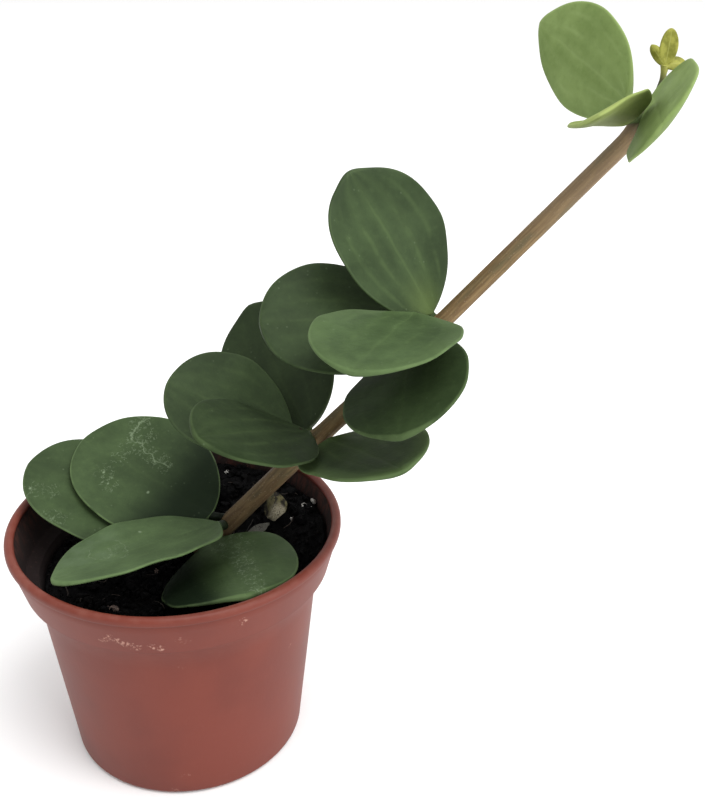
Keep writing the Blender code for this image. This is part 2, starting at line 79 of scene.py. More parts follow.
def hang_lamp(name, place, aim, size, power):
    """A soft square lamp that faces a point."""
    lamp_data = bpy.data.lights.new(name, "AREA")
    lamp_data.size = size
    lamp_data.energy = power
    lamp = bpy.data.objects.new(name, lamp_data)
    lamp.location = place
    lamp.rotation_euler = (Vector(aim) - Vector(place)).to_track_quat("-Z", "Y").to_euler()
    bpy.context.scene.collection.objects.link(lamp)


hang_lamp("overhead lamp", place=(0.35, -0.25, 0.95), aim=(0.03, 0.0, 0.07), size=0.7, power=8.0)
hang_lamp("side lamp", place=(0.9, -0.5, 0.35), aim=(0.03, 0.0, 0.05), size=0.5, power=4.0)


def start_alone(*pieces):
    """Deselects everything but these pieces, so that the operators touch nothing else."""
    bpy.ops.object.select_all(action="DESELECT")
    bpy.context.view_layer.objects.active = pieces[0] if pieces else None
    for piece in pieces:
        piece.select_set(True)


start_alone()
bpy.ops.mesh.primitive_plane_add(size=FLOOR_SIZE)
floor = bpy.context.object
floor.name = "floor"
sheet = bpy.data.materials.new("white sheet")
sheet.use_nodes = True
sheet.node_tree.nodes["Principled BSDF"].inputs["Base Color"].default_value = SHEET_WHITE
sheet.node_tree.nodes["Principled BSDF"].inputs["Roughness"].default_value = 0.9
floor.data.materials.append(sheet)


# The nursery pot is one thin injection moulding in terracotta-coloured polypropylene, 70 mm over
# its rolled lip. It has a plain collar, a slightly tapered body, and a raised ring in the floor
# with six drain holes that open sideways through notches in the foot.
POT_SIDES = 160
POT_HEIGHT = 53.3
LIP_RADIUS = 35.0
LIP_HEIGHT = 1.8
LIP_ROUND = 1.0
COLLAR_DEPTH = 9.8
COLLAR_TOP_RADIUS = 34.5
COLLAR_FOOT_RADIUS = 32.5
LEDGE_HEIGHT = 1.0
LEDGE_INSIDE_RISE = 0.8
BODY_TOP_RADIUS = 29.9
FOOT_RADIUS = 25.3
FOOT_ROUNDING = 1.5
WALL = 0.9
POT_FLOOR = 1.0
DRAIN_INNER = 13.5
DRAIN_OUTER = 20.0
DRAIN_RISE = 1.0
DRAIN_HOLES = 6
DRAIN_HOLE_RADIUS = 2.4
NOTCH_WIDTH = 7.0
NOTCH_HEIGHT = 0.7
NOTCH_TURN = -82.0
COLLAR_FOOT = POT_HEIGHT - COLLAR_DEPTH
LIP_FOOT = POT_HEIGHT - LIP_HEIGHT
LEDGE_UNDER = COLLAR_FOOT - LEDGE_HEIGHT
LEDGE_LOW = LEDGE_UNDER + LEDGE_INSIDE_RISE
LEDGE_HIGH = COLLAR_FOOT + LEDGE_INSIDE_RISE
BODY_STEPS = 8
COLLAR_STEPS = 4


class Tone:
    """A socket of the finish being mixed. Arithmetic on it adds the Math nodes that work it out."""

    tree = None

    def __init__(self, socket):
        self.socket = socket

    @staticmethod
    def node(kind, settings=None, values=None, output=0):
        """Adds one node: first its settings, then the numbers, colours or links of its sockets."""
        made = Tone.tree.nodes.new("ShaderNode" + kind)
        for key, value in (settings or {}).items():
            setattr(made, key, value)
        for key, value in (values or {}).items():
            Tone.feed(made.inputs[key], value)
        return Tone(made.outputs[output])

    @staticmethod
    def feed(socket, value):
        """Links a Tone to the socket, or sets it to a number, a vector or an (r, g, b) colour."""
        if isinstance(value, Tone):
            Tone.tree.links.new(value.socket, socket)
        elif socket.type == "RGBA":
            socket.default_value = (*value, 1.0)
        else:
            socket.default_value = value

    @staticmethod
    def maths(operation, *values):
        return Tone.node("Math", {"operation": operation}, dict(enumerate(values)))

    def __add__(self, other):
        return Tone.maths("ADD", self, other)

    def __sub__(self, other):
        return Tone.maths("SUBTRACT", self, other)

    def __rsub__(self, other):
        return Tone.maths("SUBTRACT", other, self)

    def __mul__(self, other):
        return Tone.maths("MULTIPLY", self, other)

    def __truediv__(self, other):
        return Tone.maths("DIVIDE", self, other)

    def __abs__(self):
        return Tone.maths("ABSOLUTE", self)

    __radd__ = __add__
    __rmul__ = __mul__


def rise(value, start, end):
    """Goes smoothly from 0 at the start to 1 at the end; a start above the end makes it fall."""
    return Tone.node("MapRange", {"interpolation_type": "SMOOTHSTEP"}, {0: value, 1: start, 2: end})


def larger(*masks):
    result = masks[0]
    for mask in masks[1:]:
        result = Tone.maths("MAXIMUM", result, mask)
    return result


def coat_over(base, colour, mask):
    """Lays one colour over another where the mask says."""
    return Tone.node("Mix", {"data_type": "RGBA"}, {0: mask, 6: base, 7: colour}, output=2)


def axis_of(vector, axis):
    return Tone.node("SeparateXYZ", values={0: vector}, output=axis)


def vectors(operation, first, second, output="Vector"):
    """Arithmetic on vectors; the second value of a scaling is a number."""
    socket = "Scale" if operation == "SCALE" else 1
    return Tone.node("VectorMath", {"operation": operation}, {0: first, socket: second}, output)


def stored(name, output="Vector"):
    """What the piece's corners keep under this name."""
    return Tone.node("Attribute", {"attribute_name": name}, output=output)


def here():
    """Places on the piece, in millimetres."""
    return vectors("SCALE", Tone.node("TexCoord", output="Object"), 1000.0)


def cloud(place, size, detail=4.0, roughness=0.55):
    """Soft random patches of about this size in millimetres, from 0 to 1."""
    values = {"Vector": place, "Scale": 1.0 / size, "Detail": detail, "Roughness": roughness}
    return Tone.node("TexNoise", values=values)


def stretched(place, x, y, z):
    return vectors("MULTIPLY", place, (x, y, z))


def flecks(place, size, share):
    """Small round dots, one in each cell of this size; the share says how many cells show theirs."""
    values = {"Vector": place, "Scale": 1.0 / size}
    nearest = Tone.node("TexVoronoi", values=values, output="Distance")
    chance = axis_of(Tone.node("TexVoronoi", values=values, output="Color"), 0)
    return rise(nearest, 0.3, 0.12) * rise(chance, 1.0 - share, 1.02 - share)


def scratch(place, start, end, width):
    """A soft mark along the line between two places."""
    reach = end - start
    away = vectors("SUBTRACT", place, start)
    along = vectors("DOT_PRODUCT", away, reach / reach.length_squared, "Value")
    nearest = vectors("SCALE", reach, Tone.node("Clamp", values={0: along}))
    return rise(vectors("DISTANCE", away, nearest, "Value"), width, width * 0.15)


def marks(place, lines, width):
    """The marks of several lines of places, flat or in space, each drawn from place to place."""
    lines = [[Vector(spot).to_3d() for spot in line] for line in lines]
    return larger(*(scratch(place, a, b, width) for line in lines for a, b in zip(line, line[1:])))


def start_finish(name, roughness=0.5, specular=0.5):
    """A new material, whose nodes are mixed next and fed to its shader by end_finish."""
    finish = bpy.data.materials.new(name)
    finish.use_nodes = True
    Tone.tree = finish.node_tree
    shader = finish.node_tree.nodes["Principled BSDF"]
    shader.inputs["Roughness"].default_value = roughness
    shader.inputs["Specular IOR Level"].default_value = specular
    return finish


def end_finish(finish, colour, roughness=None, height=None, depth=0.05):
    """Feeds the colour, the roughness, and a height that is raised by the depth in millimetres."""
    sockets = finish.node_tree.nodes["Principled BSDF"].inputs
    Tone.feed(sockets["Base Color"], colour)
    if roughness:
        Tone.feed(sockets["Roughness"], roughness)
    if height:
        values = {"Height": height, "Strength": 1.0, "Distance": depth * MM}
        Tone.feed(sockets["Normal"], Tone.node("Bump", values=values))
    return finish


def between(start, end, share):
    return start + (end - start) * share


def corner_round(centre, radius, start, stop, steps):
    """Points of a round corner in (radius, height), with angles in degrees."""
    turns = [math.radians(between(start, stop, i / steps)) for i in range(steps + 1)]
    return [(centre[0] + radius * math.cos(a), centre[1] + radius * math.sin(a)) for a in turns]


def straight(start, end, steps):
    """Points of a straight wall in (radius, height), without its end."""
    return [tuple(between(a, b, i / steps) for a, b in zip(start, end)) for i in range(steps)]


def face_outward(piece):
    """Turns the faces of a closed piece outward."""
    start_alone(piece)
    bpy.ops.object.mode_set(mode="EDIT")
    bpy.ops.mesh.select_all(action="SELECT")
    bpy.ops.mesh.normals_make_consistent(inside=False)
    bpy.ops.object.mode_set(mode="OBJECT")


def draw_wall(name, profile, sides):
    """A disc drawn out ring by ring through (radius, height) steps; it stays closed at both ends."""
    start_alone()
    bpy.ops.mesh.primitive_circle_add(
        vertices=sides, radius=profile[0][0], fill_type="NGON", location=(0, 0, profile[0][1])
    )
    piece = bpy.context.object
    piece.name = name
    bpy.ops.object.transform_apply(location=True, rotation=False, scale=False)
    bpy.ops.object.mode_set(mode="EDIT")
    bpy.ops.mesh.select_all(action="SELECT")
    for (radius, height), (next_radius, next_height) in zip(profile, profile[1:]):
        bpy.ops.mesh.extrude_region_move(
            TRANSFORM_OT_translate={"value": (0, 0, next_height - height)}
        )
        widen = next_radius / radius
        bpy.ops.transform.resize(value=(widen, widen, 1), center_override=(0, 0, 0))
    bpy.ops.object.mode_set(mode="OBJECT")
    face_outward(piece)
    return piece


def cut_away(piece, cutter):
    """Takes the cutter's shape out of the piece and removes the cutter."""
    modifier = piece.modifiers.new("cut", "BOOLEAN")
    modifier.operation = "DIFFERENCE"
    modifier.solver = "EXACT"
    modifier.object = cutter
    start_alone(piece)
    bpy.ops.object.modifier_apply(modifier=modifier.name)
    bpy.data.objects.remove(cutter, do_unlink=True)


def put_in_place(piece, finish, slot, *nodes, crease=40.0):
    """Brings a piece to metres, gives it its finish and ties it to the frame."""
    piece.data.transform(Matrix.Scale(MM, 4))
    piece.data.materials.clear()
    piece.data.materials.append(finish)
    start_alone(piece)
    bpy.ops.object.shade_smooth_by_angle(angle=math.radians(crease))
    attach(piece, "root")
    if nodes:
        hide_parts(*nodes)


# From the raised ring outward under the floor, up the outside, over the lip and down the inside
pot_outline = [
    (DRAIN_INNER, 0.0), (DRAIN_INNER + 0.1, 0.6), (DRAIN_INNER + 0.4, DRAIN_RISE),
    (DRAIN_OUTER, DRAIN_RISE), (DRAIN_OUTER + 0.3, 0.6), (DRAIN_OUTER + 0.4, 0.0),
    *corner_round((FOOT_RADIUS - FOOT_ROUNDING, FOOT_ROUNDING), FOOT_ROUNDING, -90, -6, 10),
    *straight((FOOT_RADIUS, FOOT_ROUNDING), (BODY_TOP_RADIUS, LEDGE_UNDER), BODY_STEPS)[1:],
    (BODY_TOP_RADIUS, LEDGE_UNDER - 0.3), (BODY_TOP_RADIUS + 0.25, COLLAR_FOOT - 0.95),
    (BODY_TOP_RADIUS + 0.8, COLLAR_FOOT - 0.68), (COLLAR_FOOT_RADIUS - 0.65, COLLAR_FOOT - 0.24),
    (COLLAR_FOOT_RADIUS - 0.25, COLLAR_FOOT - 0.05), (COLLAR_FOOT_RADIUS - 0.06, COLLAR_FOOT + 0.12),
    *straight(
        (COLLAR_FOOT_RADIUS, COLLAR_FOOT + 0.35), (COLLAR_TOP_RADIUS, LIP_FOOT - 0.25), COLLAR_STEPS
    ),
    (COLLAR_TOP_RADIUS - 0.05, LIP_FOOT - 0.3), (COLLAR_TOP_RADIUS - 0.1, LIP_FOOT - 0.1),
    (COLLAR_TOP_RADIUS, LIP_FOOT + 0.02), (LIP_RADIUS - 0.12, LIP_FOOT + 0.12),
    (LIP_RADIUS, LIP_FOOT + 0.4),
    *corner_round((LIP_RADIUS - LIP_ROUND, POT_HEIGHT - LIP_ROUND), LIP_ROUND, 10, 170, 14),
    (COLLAR_TOP_RADIUS - WALL, LIP_FOOT - 0.6), (COLLAR_FOOT_RADIUS - WALL, LEDGE_HIGH),
    (BODY_TOP_RADIUS - WALL, LEDGE_LOW), (FOOT_RADIUS - WALL - 0.2, FOOT_ROUNDING),
    (FOOT_RADIUS - FOOT_ROUNDING, POT_FLOOR), (DRAIN_OUTER + 1.0, POT_FLOOR),
    (DRAIN_OUTER, POT_FLOOR + DRAIN_RISE), (DRAIN_INNER, POT_FLOOR + DRAIN_RISE),
    (DRAIN_INNER - 0.8, POT_FLOOR),
]
pot = draw_wall("nursery_pot", pot_outline, POT_SIDES)

hole_circle = (DRAIN_INNER + DRAIN_OUTER) / 2
notch_length = FOOT_RADIUS - DRAIN_OUTER + 4.0
notch_middle = DRAIN_OUTER + notch_length / 2 - 1.0
for i in range(DRAIN_HOLES):
    turn = math.radians(NOTCH_TURN + 360 * i / DRAIN_HOLES)
    outward = Vector((math.cos(turn), math.sin(turn), 0.0))
    start_alone()
    bpy.ops.mesh.primitive_cylinder_add(
        vertices=40, radius=DRAIN_HOLE_RADIUS, depth=6.0,
        location=outward * hole_circle + Vector((0, 0, 1.0)),
    )
    cut_away(pot, bpy.context.object)
    start_alone()
    bpy.ops.mesh.primitive_cube_add(
        size=1.0, scale=(notch_length, NOTCH_WIDTH, 2 * NOTCH_HEIGHT), rotation=(0, 0, turn),
        location=outward * notch_middle,
    )
    cut_away(pot, bpy.context.object)

# Each corner knows whether it is on the inside of the wall, where the plastic is stained by wet soil and
# darkened by painted shade
inner = pot.data.attributes.new("inner", "FLOAT", "POINT")
for corner in pot.data.vertices:
    from_axis, height = math.hypot(corner.co.x, corner.co.y), corner.co.z
    if height > COLLAR_FOOT - 0.3:
        share = (height - COLLAR_FOOT) / (LIP_FOOT - COLLAR_FOOT)
        outer = between(COLLAR_FOOT_RADIUS, COLLAR_TOP_RADIUS, share)
    else:
        outer = between(FOOT_RADIUS, BODY_TOP_RADIUS, height / COLLAR_FOOT)
    within = from_axis < outer - WALL / 2 - 0.1 and POT_FLOOR / 2 < height < LIP_FOOT - 0.3
    inner.data[corner.index].value = 1.0 if within else 0.0

TERRACOTTA = (0.149, 0.0268, 0.0145)
TERRACOTTA_DARK = (0.126, 0.0217, 0.0119)
TERRACOTTA_PALE = (0.19, 0.044, 0.028)
SCUFF_CHALK = (0.4, 0.21, 0.16)
WET_STAIN_AND_SHADE = (0.011, 0.0075, 0.0065)
STREAK_AND_CREASE_SHADE_RED = (0.05, 0.017, 0.012)
DEEP_STAIN_AND_SHADE = (0.004, 0.003, 0.003)
COLLAR_SCUFFS = (
    ((-9.5, -31.8, 46.4), (-7.9, -32.5, 47.5), (-6.5, -32.7, 46.9), (-4.7, -32.8, 46.0), (-3.0, -32.8, 45.6)),
    ((-0.1, -33.0, 45.8), (0.5, -32.8, 45.1), (1.4, -32.8, 45.2)),
    ((16.6, -29.5, 48.8), (16.9, -29.4, 49.0)),
)
FAINT_SCUFFS = (
    ((4.5, -33.2, 47.5), (5.6, -33.0, 47.8)),
    ((5.4, -32.8, 46.6), (6.8, -32.5, 46.8)),
    ((4.3, -29.0, 37.4), (4.6, -29.0, 37.3)),
    ((24.4, -15.1, 31.7), (24.6, -15.0, 31.5)),
    ((1.9, -25.6, 6.1), (2.9, -25.5, 5.9)),
    ((-0.5, -25.3, 1.3), (0.4, -25.3, 1.2)),
)

pot_plastic = start_finish("terracotta plastic", specular=0.3)
place = here()
height = axis_of(place, 2)
broad = cloud(place, 18.0, 2.0)
fine = cloud(stretched(place, 1.0, 1.0, 0.5), 1.1, 4.0, 0.6)
colour = coat_over(TERRACOTTA_DARK, TERRACOTTA, rise(broad, 0.3, 0.62))
colour = coat_over(colour, TERRACOTTA_PALE, rise(fine, 0.5, 0.8) * 0.12)
ragged = cloud(place, 0.6, 5.0, 0.7)
near_scuff = marks(place, COLLAR_SCUFFS, 1.5)
near_faint = marks(place, FAINT_SCUFFS, 1.0)
worn = rise(ragged + near_scuff * 0.12, 0.62, 0.68) * rise(near_scuff, 0.0, 0.5)
faint = rise(ragged + near_faint * 0.12, 0.62, 0.72) * rise(near_faint, 0.0, 0.4)
rubbed_lip = rise(height, POT_HEIGHT - 1.1, POT_HEIGHT - 0.2) * rise(cloud(place, 3.0), 0.35, 0.75)
chalky = larger(worn * 0.9, faint * 0.35, rubbed_lip * 0.1)
colour = coat_over(colour, SCUFF_CHALK, chalky)
# Inside the wall the colour is partly wet soil stain and partly painted shade: nearly black with reddish
# streaks, and darker still deeper down.
on_inner_wall = stored("inner", "Fac")
streaks = cloud(stretched(place, 1.0, 1.0, 0.16), 1.4, 5.0, 0.65)
inner_stain_and_shade = coat_over(WET_STAIN_AND_SHADE, STREAK_AND_CREASE_SHADE_RED, rise(streaks + (height - 47.0) * 0.02, 0.46, 0.66))
inner_stain_and_shade = coat_over(inner_stain_and_shade, DEEP_STAIN_AND_SHADE, rise(height, 50.0, 44.6))
smudge = rise(cloud(stretched(place, 1.0, 1.0, 0.5), 1.0, 4.0, 0.7), 0.62, 0.72)
inner_stain_and_shade = coat_over(inner_stain_and_shade, SCUFF_CHALK, smudge * 0.12)
# Painted shade: thin dark lines under the lip's bead and at the collar's foot, where the ledges shade the
# wall.
crease_shade = larger(rise(abs(height - LIP_FOOT), 0.34, 0.08) * 0.45,
                rise(abs(height - COLLAR_FOOT), 0.5, 0.1) * 0.2)
colour = coat_over(colour, STREAK_AND_CREASE_SHADE_RED, crease_shade)
colour = coat_over(colour, inner_stain_and_shade, on_inner_wall * 0.96)
roughness = 0.45 + broad * 0.08 + chalky * 0.25 + on_inner_wall * (streaks * 0.2 + 0.3)
end_finish(pot_plastic, colour, roughness, fine * 0.35 + chalky * 0.4 + on_inner_wall * streaks * 1.2)
put_in_place(pot, pot_plastic, "pot_plastic", "pot", crease=32.0)


# The soil is a dark, moist peat mix that fills the pot to a little under the lip. It is level at
# the front and left and banked up at the back right. Crumbs of all sizes, thin root fibres and a
# few white grains of perlite lie loose on it.
SOIL_LEVEL = 41.3
BANK_RISE = 7.0
BANK_HEADING = math.radians(60)
BANK_START = 2.0
BANK_END = 26.0
SOIL_CLEARANCE = 0.8
SOIL_SIDES = 180
SOIL_RINGS = 62
SOIL_FOOT = 2.3
# The soil is first drawn as a drum. The corners of its two lower rings stand at the first two of
# these heights and those of its top at the third, which tells them apart when they are moved.
DRAWN_RADIUS = 30.0
LOW_MARK = 54.0
HIGH_MARK = 57.0
SOIL_TOP_MARK = 60.0
CHIP_PLACE = (20.5, 11.0)
FLAKE_PLACE = (17.0, 7.3)
STEM_GAP = 2.2
CHIP_GAP = 3.0
FLAKE_GAP = 2.4
FIBRE_STEP = 0.75
LOW_NODE = Vector((9.5, 5.0, 47.5))
SECOND_NODE = Vector((28.5, 3.0, 69.0))
STEM_SLOPE = (SECOND_NODE - LOW_NODE).normalized()


def bank_height(x, y):
    """The soil's level without its crumbs."""
    along = x * math.cos(BANK_HEADING) + y * math.sin(BANK_HEADING)
    share = min(1.0, max(0.0, (along - BANK_START) / (BANK_END - BANK_START)))
    return SOIL_LEVEL + BANK_RISE * share**2 * (3 - 2 * share)


def soil_height(x, y):
    """The loose surface: clods, smaller crumbs and grit."""
    clods = noise.noise(Vector((x, y, 3.0)) * 0.32) * 0.75
    crumbs = noise.noise(Vector((x, y, 9.0)) * 0.9) * 0.55
    grit = noise.noise(Vector((x, y, 5.0)) * 2.6) * 0.3
    calm = 1.0
    for spot in (CHIP_PLACE, FLAKE_PLACE):
        calm = min(calm, max(0.25, (math.dist((x, y), spot) - 2.0) / 4.0))
    return bank_height(x, y) + (clods + crumbs + grit) * calm


def soil_reach(height):
    """How far out the soil goes at a height: just short of the inside of the wall."""
    wall_inside = ((COLLAR_TOP_RADIUS, LIP_FOOT - 0.6), (COLLAR_FOOT_RADIUS, LEDGE_HIGH),
                   (BODY_TOP_RADIUS, LEDGE_LOW), (FOOT_RADIUS - 0.2, FOOT_ROUNDING))
    for (upper_radius, upper), (lower_radius, lower) in zip(wall_inside, wall_inside[1:]):
        if height >= lower:
            break
    share = (height - lower) / (upper - lower)
    return between(lower_radius, upper_radius, share) - WALL - SOIL_CLEARANCE


def soil_edge(turn):
    """Where the top of the soil meets the wall at one bearing, as (radius, height)."""
    reach = soil_reach(SOIL_LEVEL)
    for _ in range(4):
        height = soil_height(reach * math.cos(turn), reach * math.sin(turn))
        reach = soil_reach(height)
    return reach, height


soil_outline = [(soil_reach(SOIL_FOOT) - 1.0, SOIL_FOOT)]
soil_outline += [(DRAWN_RADIUS, LOW_MARK), (DRAWN_RADIUS, HIGH_MARK)]
soil_outline += [(DRAWN_RADIUS * (1 - k / SOIL_RINGS), SOIL_TOP_MARK) for k in range(SOIL_RINGS)]
soil = draw_wall("potting_soil", soil_outline, SOIL_SIDES)
for corner in soil.data.vertices:
    if corner.co.z < LOW_MARK - 1:
        continue
    turn = math.atan2(corner.co.y, corner.co.x)
    reach, height = soil_edge(turn)
    if corner.co.z < LOW_MARK + 1:
        height = min(LEDGE_LOW, height - 0.6)
        reach = soil_reach(height)
    elif corner.co.z < HIGH_MARK + 1:
        height = min(LEDGE_HIGH, height - 0.3)
        reach = soil_reach(height)
    else:
        share = math.hypot(corner.co.x, corner.co.y) / DRAWN_RADIUS
        reach *= share
        if share < 0.999:
            height = soil_height(reach * math.cos(turn), reach * math.sin(turn))
    corner.co = (reach * math.cos(turn), reach * math.sin(turn), height)


def new_piece(name, corners, faces):
    mesh = bpy.data.meshes.new(name)
    mesh.from_pydata(corners, [], faces)
    piece = bpy.data.objects.new(name, mesh)
    bpy.context.scene.collection.objects.link(piece)
    return piece


def lump_shape(subdivisions):
    """The corners and faces of a plain ball that each loose crumb is a dented copy of."""
    start_alone()
    bpy.ops.mesh.primitive_ico_sphere_add(subdivisions=subdivisions, radius=0.5)
    ball = bpy.context.object
    corners = [corner.co.copy() for corner in ball.data.vertices]
    faces = [tuple(face.vertices) for face in ball.data.polygons]
    bpy.data.objects.remove(ball, do_unlink=True)
    return corners, faces


def scatter(name, lumps, shape, dents):
    """One mesh that holds a dented, turned copy of the shape at each (x, y, sink, size) place."""
    draw = random.Random(name)
    corners, faces = shape
    all_corners, all_faces = [], []
    for x, y, sink, size in lumps:
        turn = Matrix.Rotation(draw.uniform(0, 6.28), 3, "Z") @ Matrix.Rotation(draw.uniform(0, 6.28), 3, "X")
        stretch = Vector((draw.uniform(0.75, 1.25), draw.uniform(0.7, 1.1), draw.uniform(0.6, 1.0)))
        seed = Vector(draw.uniform(0, 90) for _ in range(3))
        centre = Vector((x, y, soil_height(x, y) + size * (0.5 - sink) * 0.7))
        first = len(all_corners)
        for corner in corners:
            dent = 1 + dents * noise.noise(corner * 2.4 + seed)
            moved = turn @ Vector(corner[i] * stretch[i] * dent * size for i in range(3))
            all_corners.append(centre + moved)
        all_faces += [tuple(first + i for i in face) for face in faces]
    return new_piece(name, all_corners, all_faces)


def near_stem(x, y):
    """The distance from the stem's axis where it comes out of the soil."""
    share = (soil_height(x, y) - LOW_NODE.z) / STEM_SLOPE.z
    foot = LOW_NODE + STEM_SLOPE * share
    return math.hypot(x - foot.x, y - foot.y)


def loose_places(count, smallest, largest, seed):
    """Random places on the soil, clear of the wall, the stem and the bark."""
    draw = random.Random(seed)
    found = []
    while len(found) < count:
        turn = draw.uniform(0, 2 * math.pi)
        size = smallest + (largest - smallest) * draw.random() ** 2.5
        reach = (soil_edge(turn)[0] - size * 0.6) * math.sqrt(draw.random())
        x, y = reach * math.cos(turn), reach * math.sin(turn)
        if near_stem(x, y) < STEM_GAP + size / 2:
            continue
        if math.dist((x, y), CHIP_PLACE) < CHIP_GAP or math.dist((x, y), FLAKE_PLACE) < FLAKE_GAP:
            continue
        found.append((x, y, draw.uniform(0.1, 0.5), size))
    return found


clod_places = loose_places(430, smallest=1.1, largest=2.9, seed=21)
clods = scatter("soil_clods", clod_places, lump_shape(2), dents=0.75)
crumb_places = loose_places(2300, smallest=0.45, largest=1.3, seed=22)
crumbs = scatter("soil_crumbs", crumb_places, lump_shape(1), dents=0.6)

PERLITE_PLACES = (
    (26.6, 12.8, 0.2, 0.9), (28.4, 11.0, 0.2, 0.75), (24.1, 8.8, 0.2, 0.7), (-16.9, -12.1, 0.2, 0.9),
    (28.6, 14.6, 0.2, 1.1), (6.0, 22.0, 0.3, 1.0), (-12.0, 20.0, 0.4, 1.2), (8.0, 27.0, 0.3, 0.9),
)
perlite = scatter("perlite", PERLITE_PLACES, lump_shape(3), dents=0.8)
DRY_CRUMB_PLACES = (
    (-11.1, -15.7, 0.2, 1.3), (-10.2, -16.5, 0.2, 1.0), (-12.2, -14.9, 0.2, 0.8), (-4.3, -2.9, 0.2, 1.3),
)
pale_crumbs = scatter("pale_crumbs", DRY_CRUMB_PLACES, lump_shape(3), dents=0.8)


def curl_fibres(name, count, seed):
    """Thin dry root fibres, each a bent thread of square section laid on the soil."""
    draw = random.Random(seed)
    all_corners, all_faces = [], []
    for x, y, *_ in loose_places(count, 0.4, 1.0, seed):
        heading = draw.uniform(0, 6.28)
        bend = draw.uniform(-0.5, 0.5)
        thick = draw.uniform(0.08, 0.17)
        steps = draw.randint(5, 9)
        first = len(all_corners)
        for k in range(steps):
            if math.hypot(x, y) > soil_edge(math.atan2(y, x))[0] - 0.8 or near_stem(x, y) < 2.3:
                break
            lift = 0.25 + thick + 0.5 * math.sin(3.14 * k / steps) * draw.uniform(0.4, 1.2)
            side = Vector((-math.sin(heading), math.cos(heading), 0)) * thick
            up = Vector((0, 0, thick))
            middle = Vector((x, y, soil_height(x, y) + lift))
            all_corners += [middle + side, middle + up, middle - side, middle - up]
            heading += bend + draw.uniform(-0.3, 0.3)
            x += FIBRE_STEP * math.cos(heading)
            y += FIBRE_STEP * math.sin(heading)
        last = len(all_corners) - 4
        if last <= first:
            del all_corners[first:]
            continue
        for ring in range(first, last, 4):
            for i, j in ((0, 1), (1, 2), (2, 3), (3, 0)):
                all_faces.append((ring + i, ring + 4 + i, ring + 4 + j, ring + j))
        all_faces.append((first, first + 1, first + 2, first + 3))
        all_faces.append((last + 3, last + 2, last + 1, last))
    threads = new_piece(name, all_corners, all_faces)
    face_outward(threads)
    return threads


fibres = curl_fibres("root_fibres", count=60, seed=31)

SOIL_BLACK = (0.0012, 0.0011, 0.0014)
SOIL_BROWN = (0.004, 0.0032, 0.003)
SOIL_DUST = (0.018, 0.016, 0.014)


def soil_finish(name, brown_share, wet):
    """Black peat with browner patches and grains of pale dust; wet is its lowest roughness."""
    finish = start_finish(name, specular=0.08)
    place = here()
    patches = cloud(place, 3.0, 5.0, 0.65)
    grains = cloud(place, 0.35, 4.0, 0.7)
    colour = coat_over(SOIL_BLACK, SOIL_BROWN, rise(patches, 0.62 - brown_share, 0.95 - brown_share))
    colour = coat_over(colour, SOIL_DUST, rise(grains, 0.62, 0.78) * 0.3)
    return end_finish(finish, colour, wet + rise(grains, 0.35, 0.7) * 0.3, grains, 0.16)


put_in_place(soil, soil_finish("moist peat", brown_share=0.12, wet=0.6), "soil", "soil", crease=180.0)
put_in_place(clods, soil_finish("peat clods", brown_share=0.16, wet=0.55), "soil", crease=38.0)
put_in_place(crumbs, soil_finish("peat crumbs", brown_share=0.28, wet=0.6), "soil", crease=25.0)


def grain_finish(name, dark, light, pit_size, start, end):
    """A dry pitted grain, dark in its pits."""
    finish = start_finish(name, roughness=0.8)
    pits = cloud(here(), pit_size, 3.0, 0.6)
    return end_finish(finish, coat_over(dark, light, rise(pits, start, end)), height=pits, depth=0.1)


grain_white = grain_finish("perlite grain", (0.3, 0.28, 0.25), (0.78, 0.76, 0.72), 0.25, 0.38, 0.6)
put_in_place(perlite, grain_white, "soil", crease=60.0)
crumb_pink = grain_finish("dry crumb", (0.05, 0.03, 0.024), (0.3, 0.22, 0.18), 0.3, 0.42, 0.62)
put_in_place(pale_crumbs, crumb_pink, "soil", crease=60.0)

fibre_brown = start_finish("dry root", roughness=0.75)
patches = rise(cloud(here(), 5.0, 3.0), 0.35, 0.7)
end_finish(fibre_brown, coat_over((0.01, 0.007, 0.005), (0.05, 0.035, 0.025), patches))
put_in_place(fibres, fibre_brown, "soil", crease=60.0)


# Two loose bits lie beside the stem: a knobbly yellowish piece of bark, and a thin grey flake
# that leans flat on the soil in front of it. Each is one broken piece of dry wood.
CHIP_SIZE = (6.2, 7.4, 5.6)
CHIP_TURN = math.radians(20)
FLAKE_SIZE = (6.0, 3.0, 1.3)
FLAKE_TURN = math.radians(5)
BIT_LIFT = 0.3


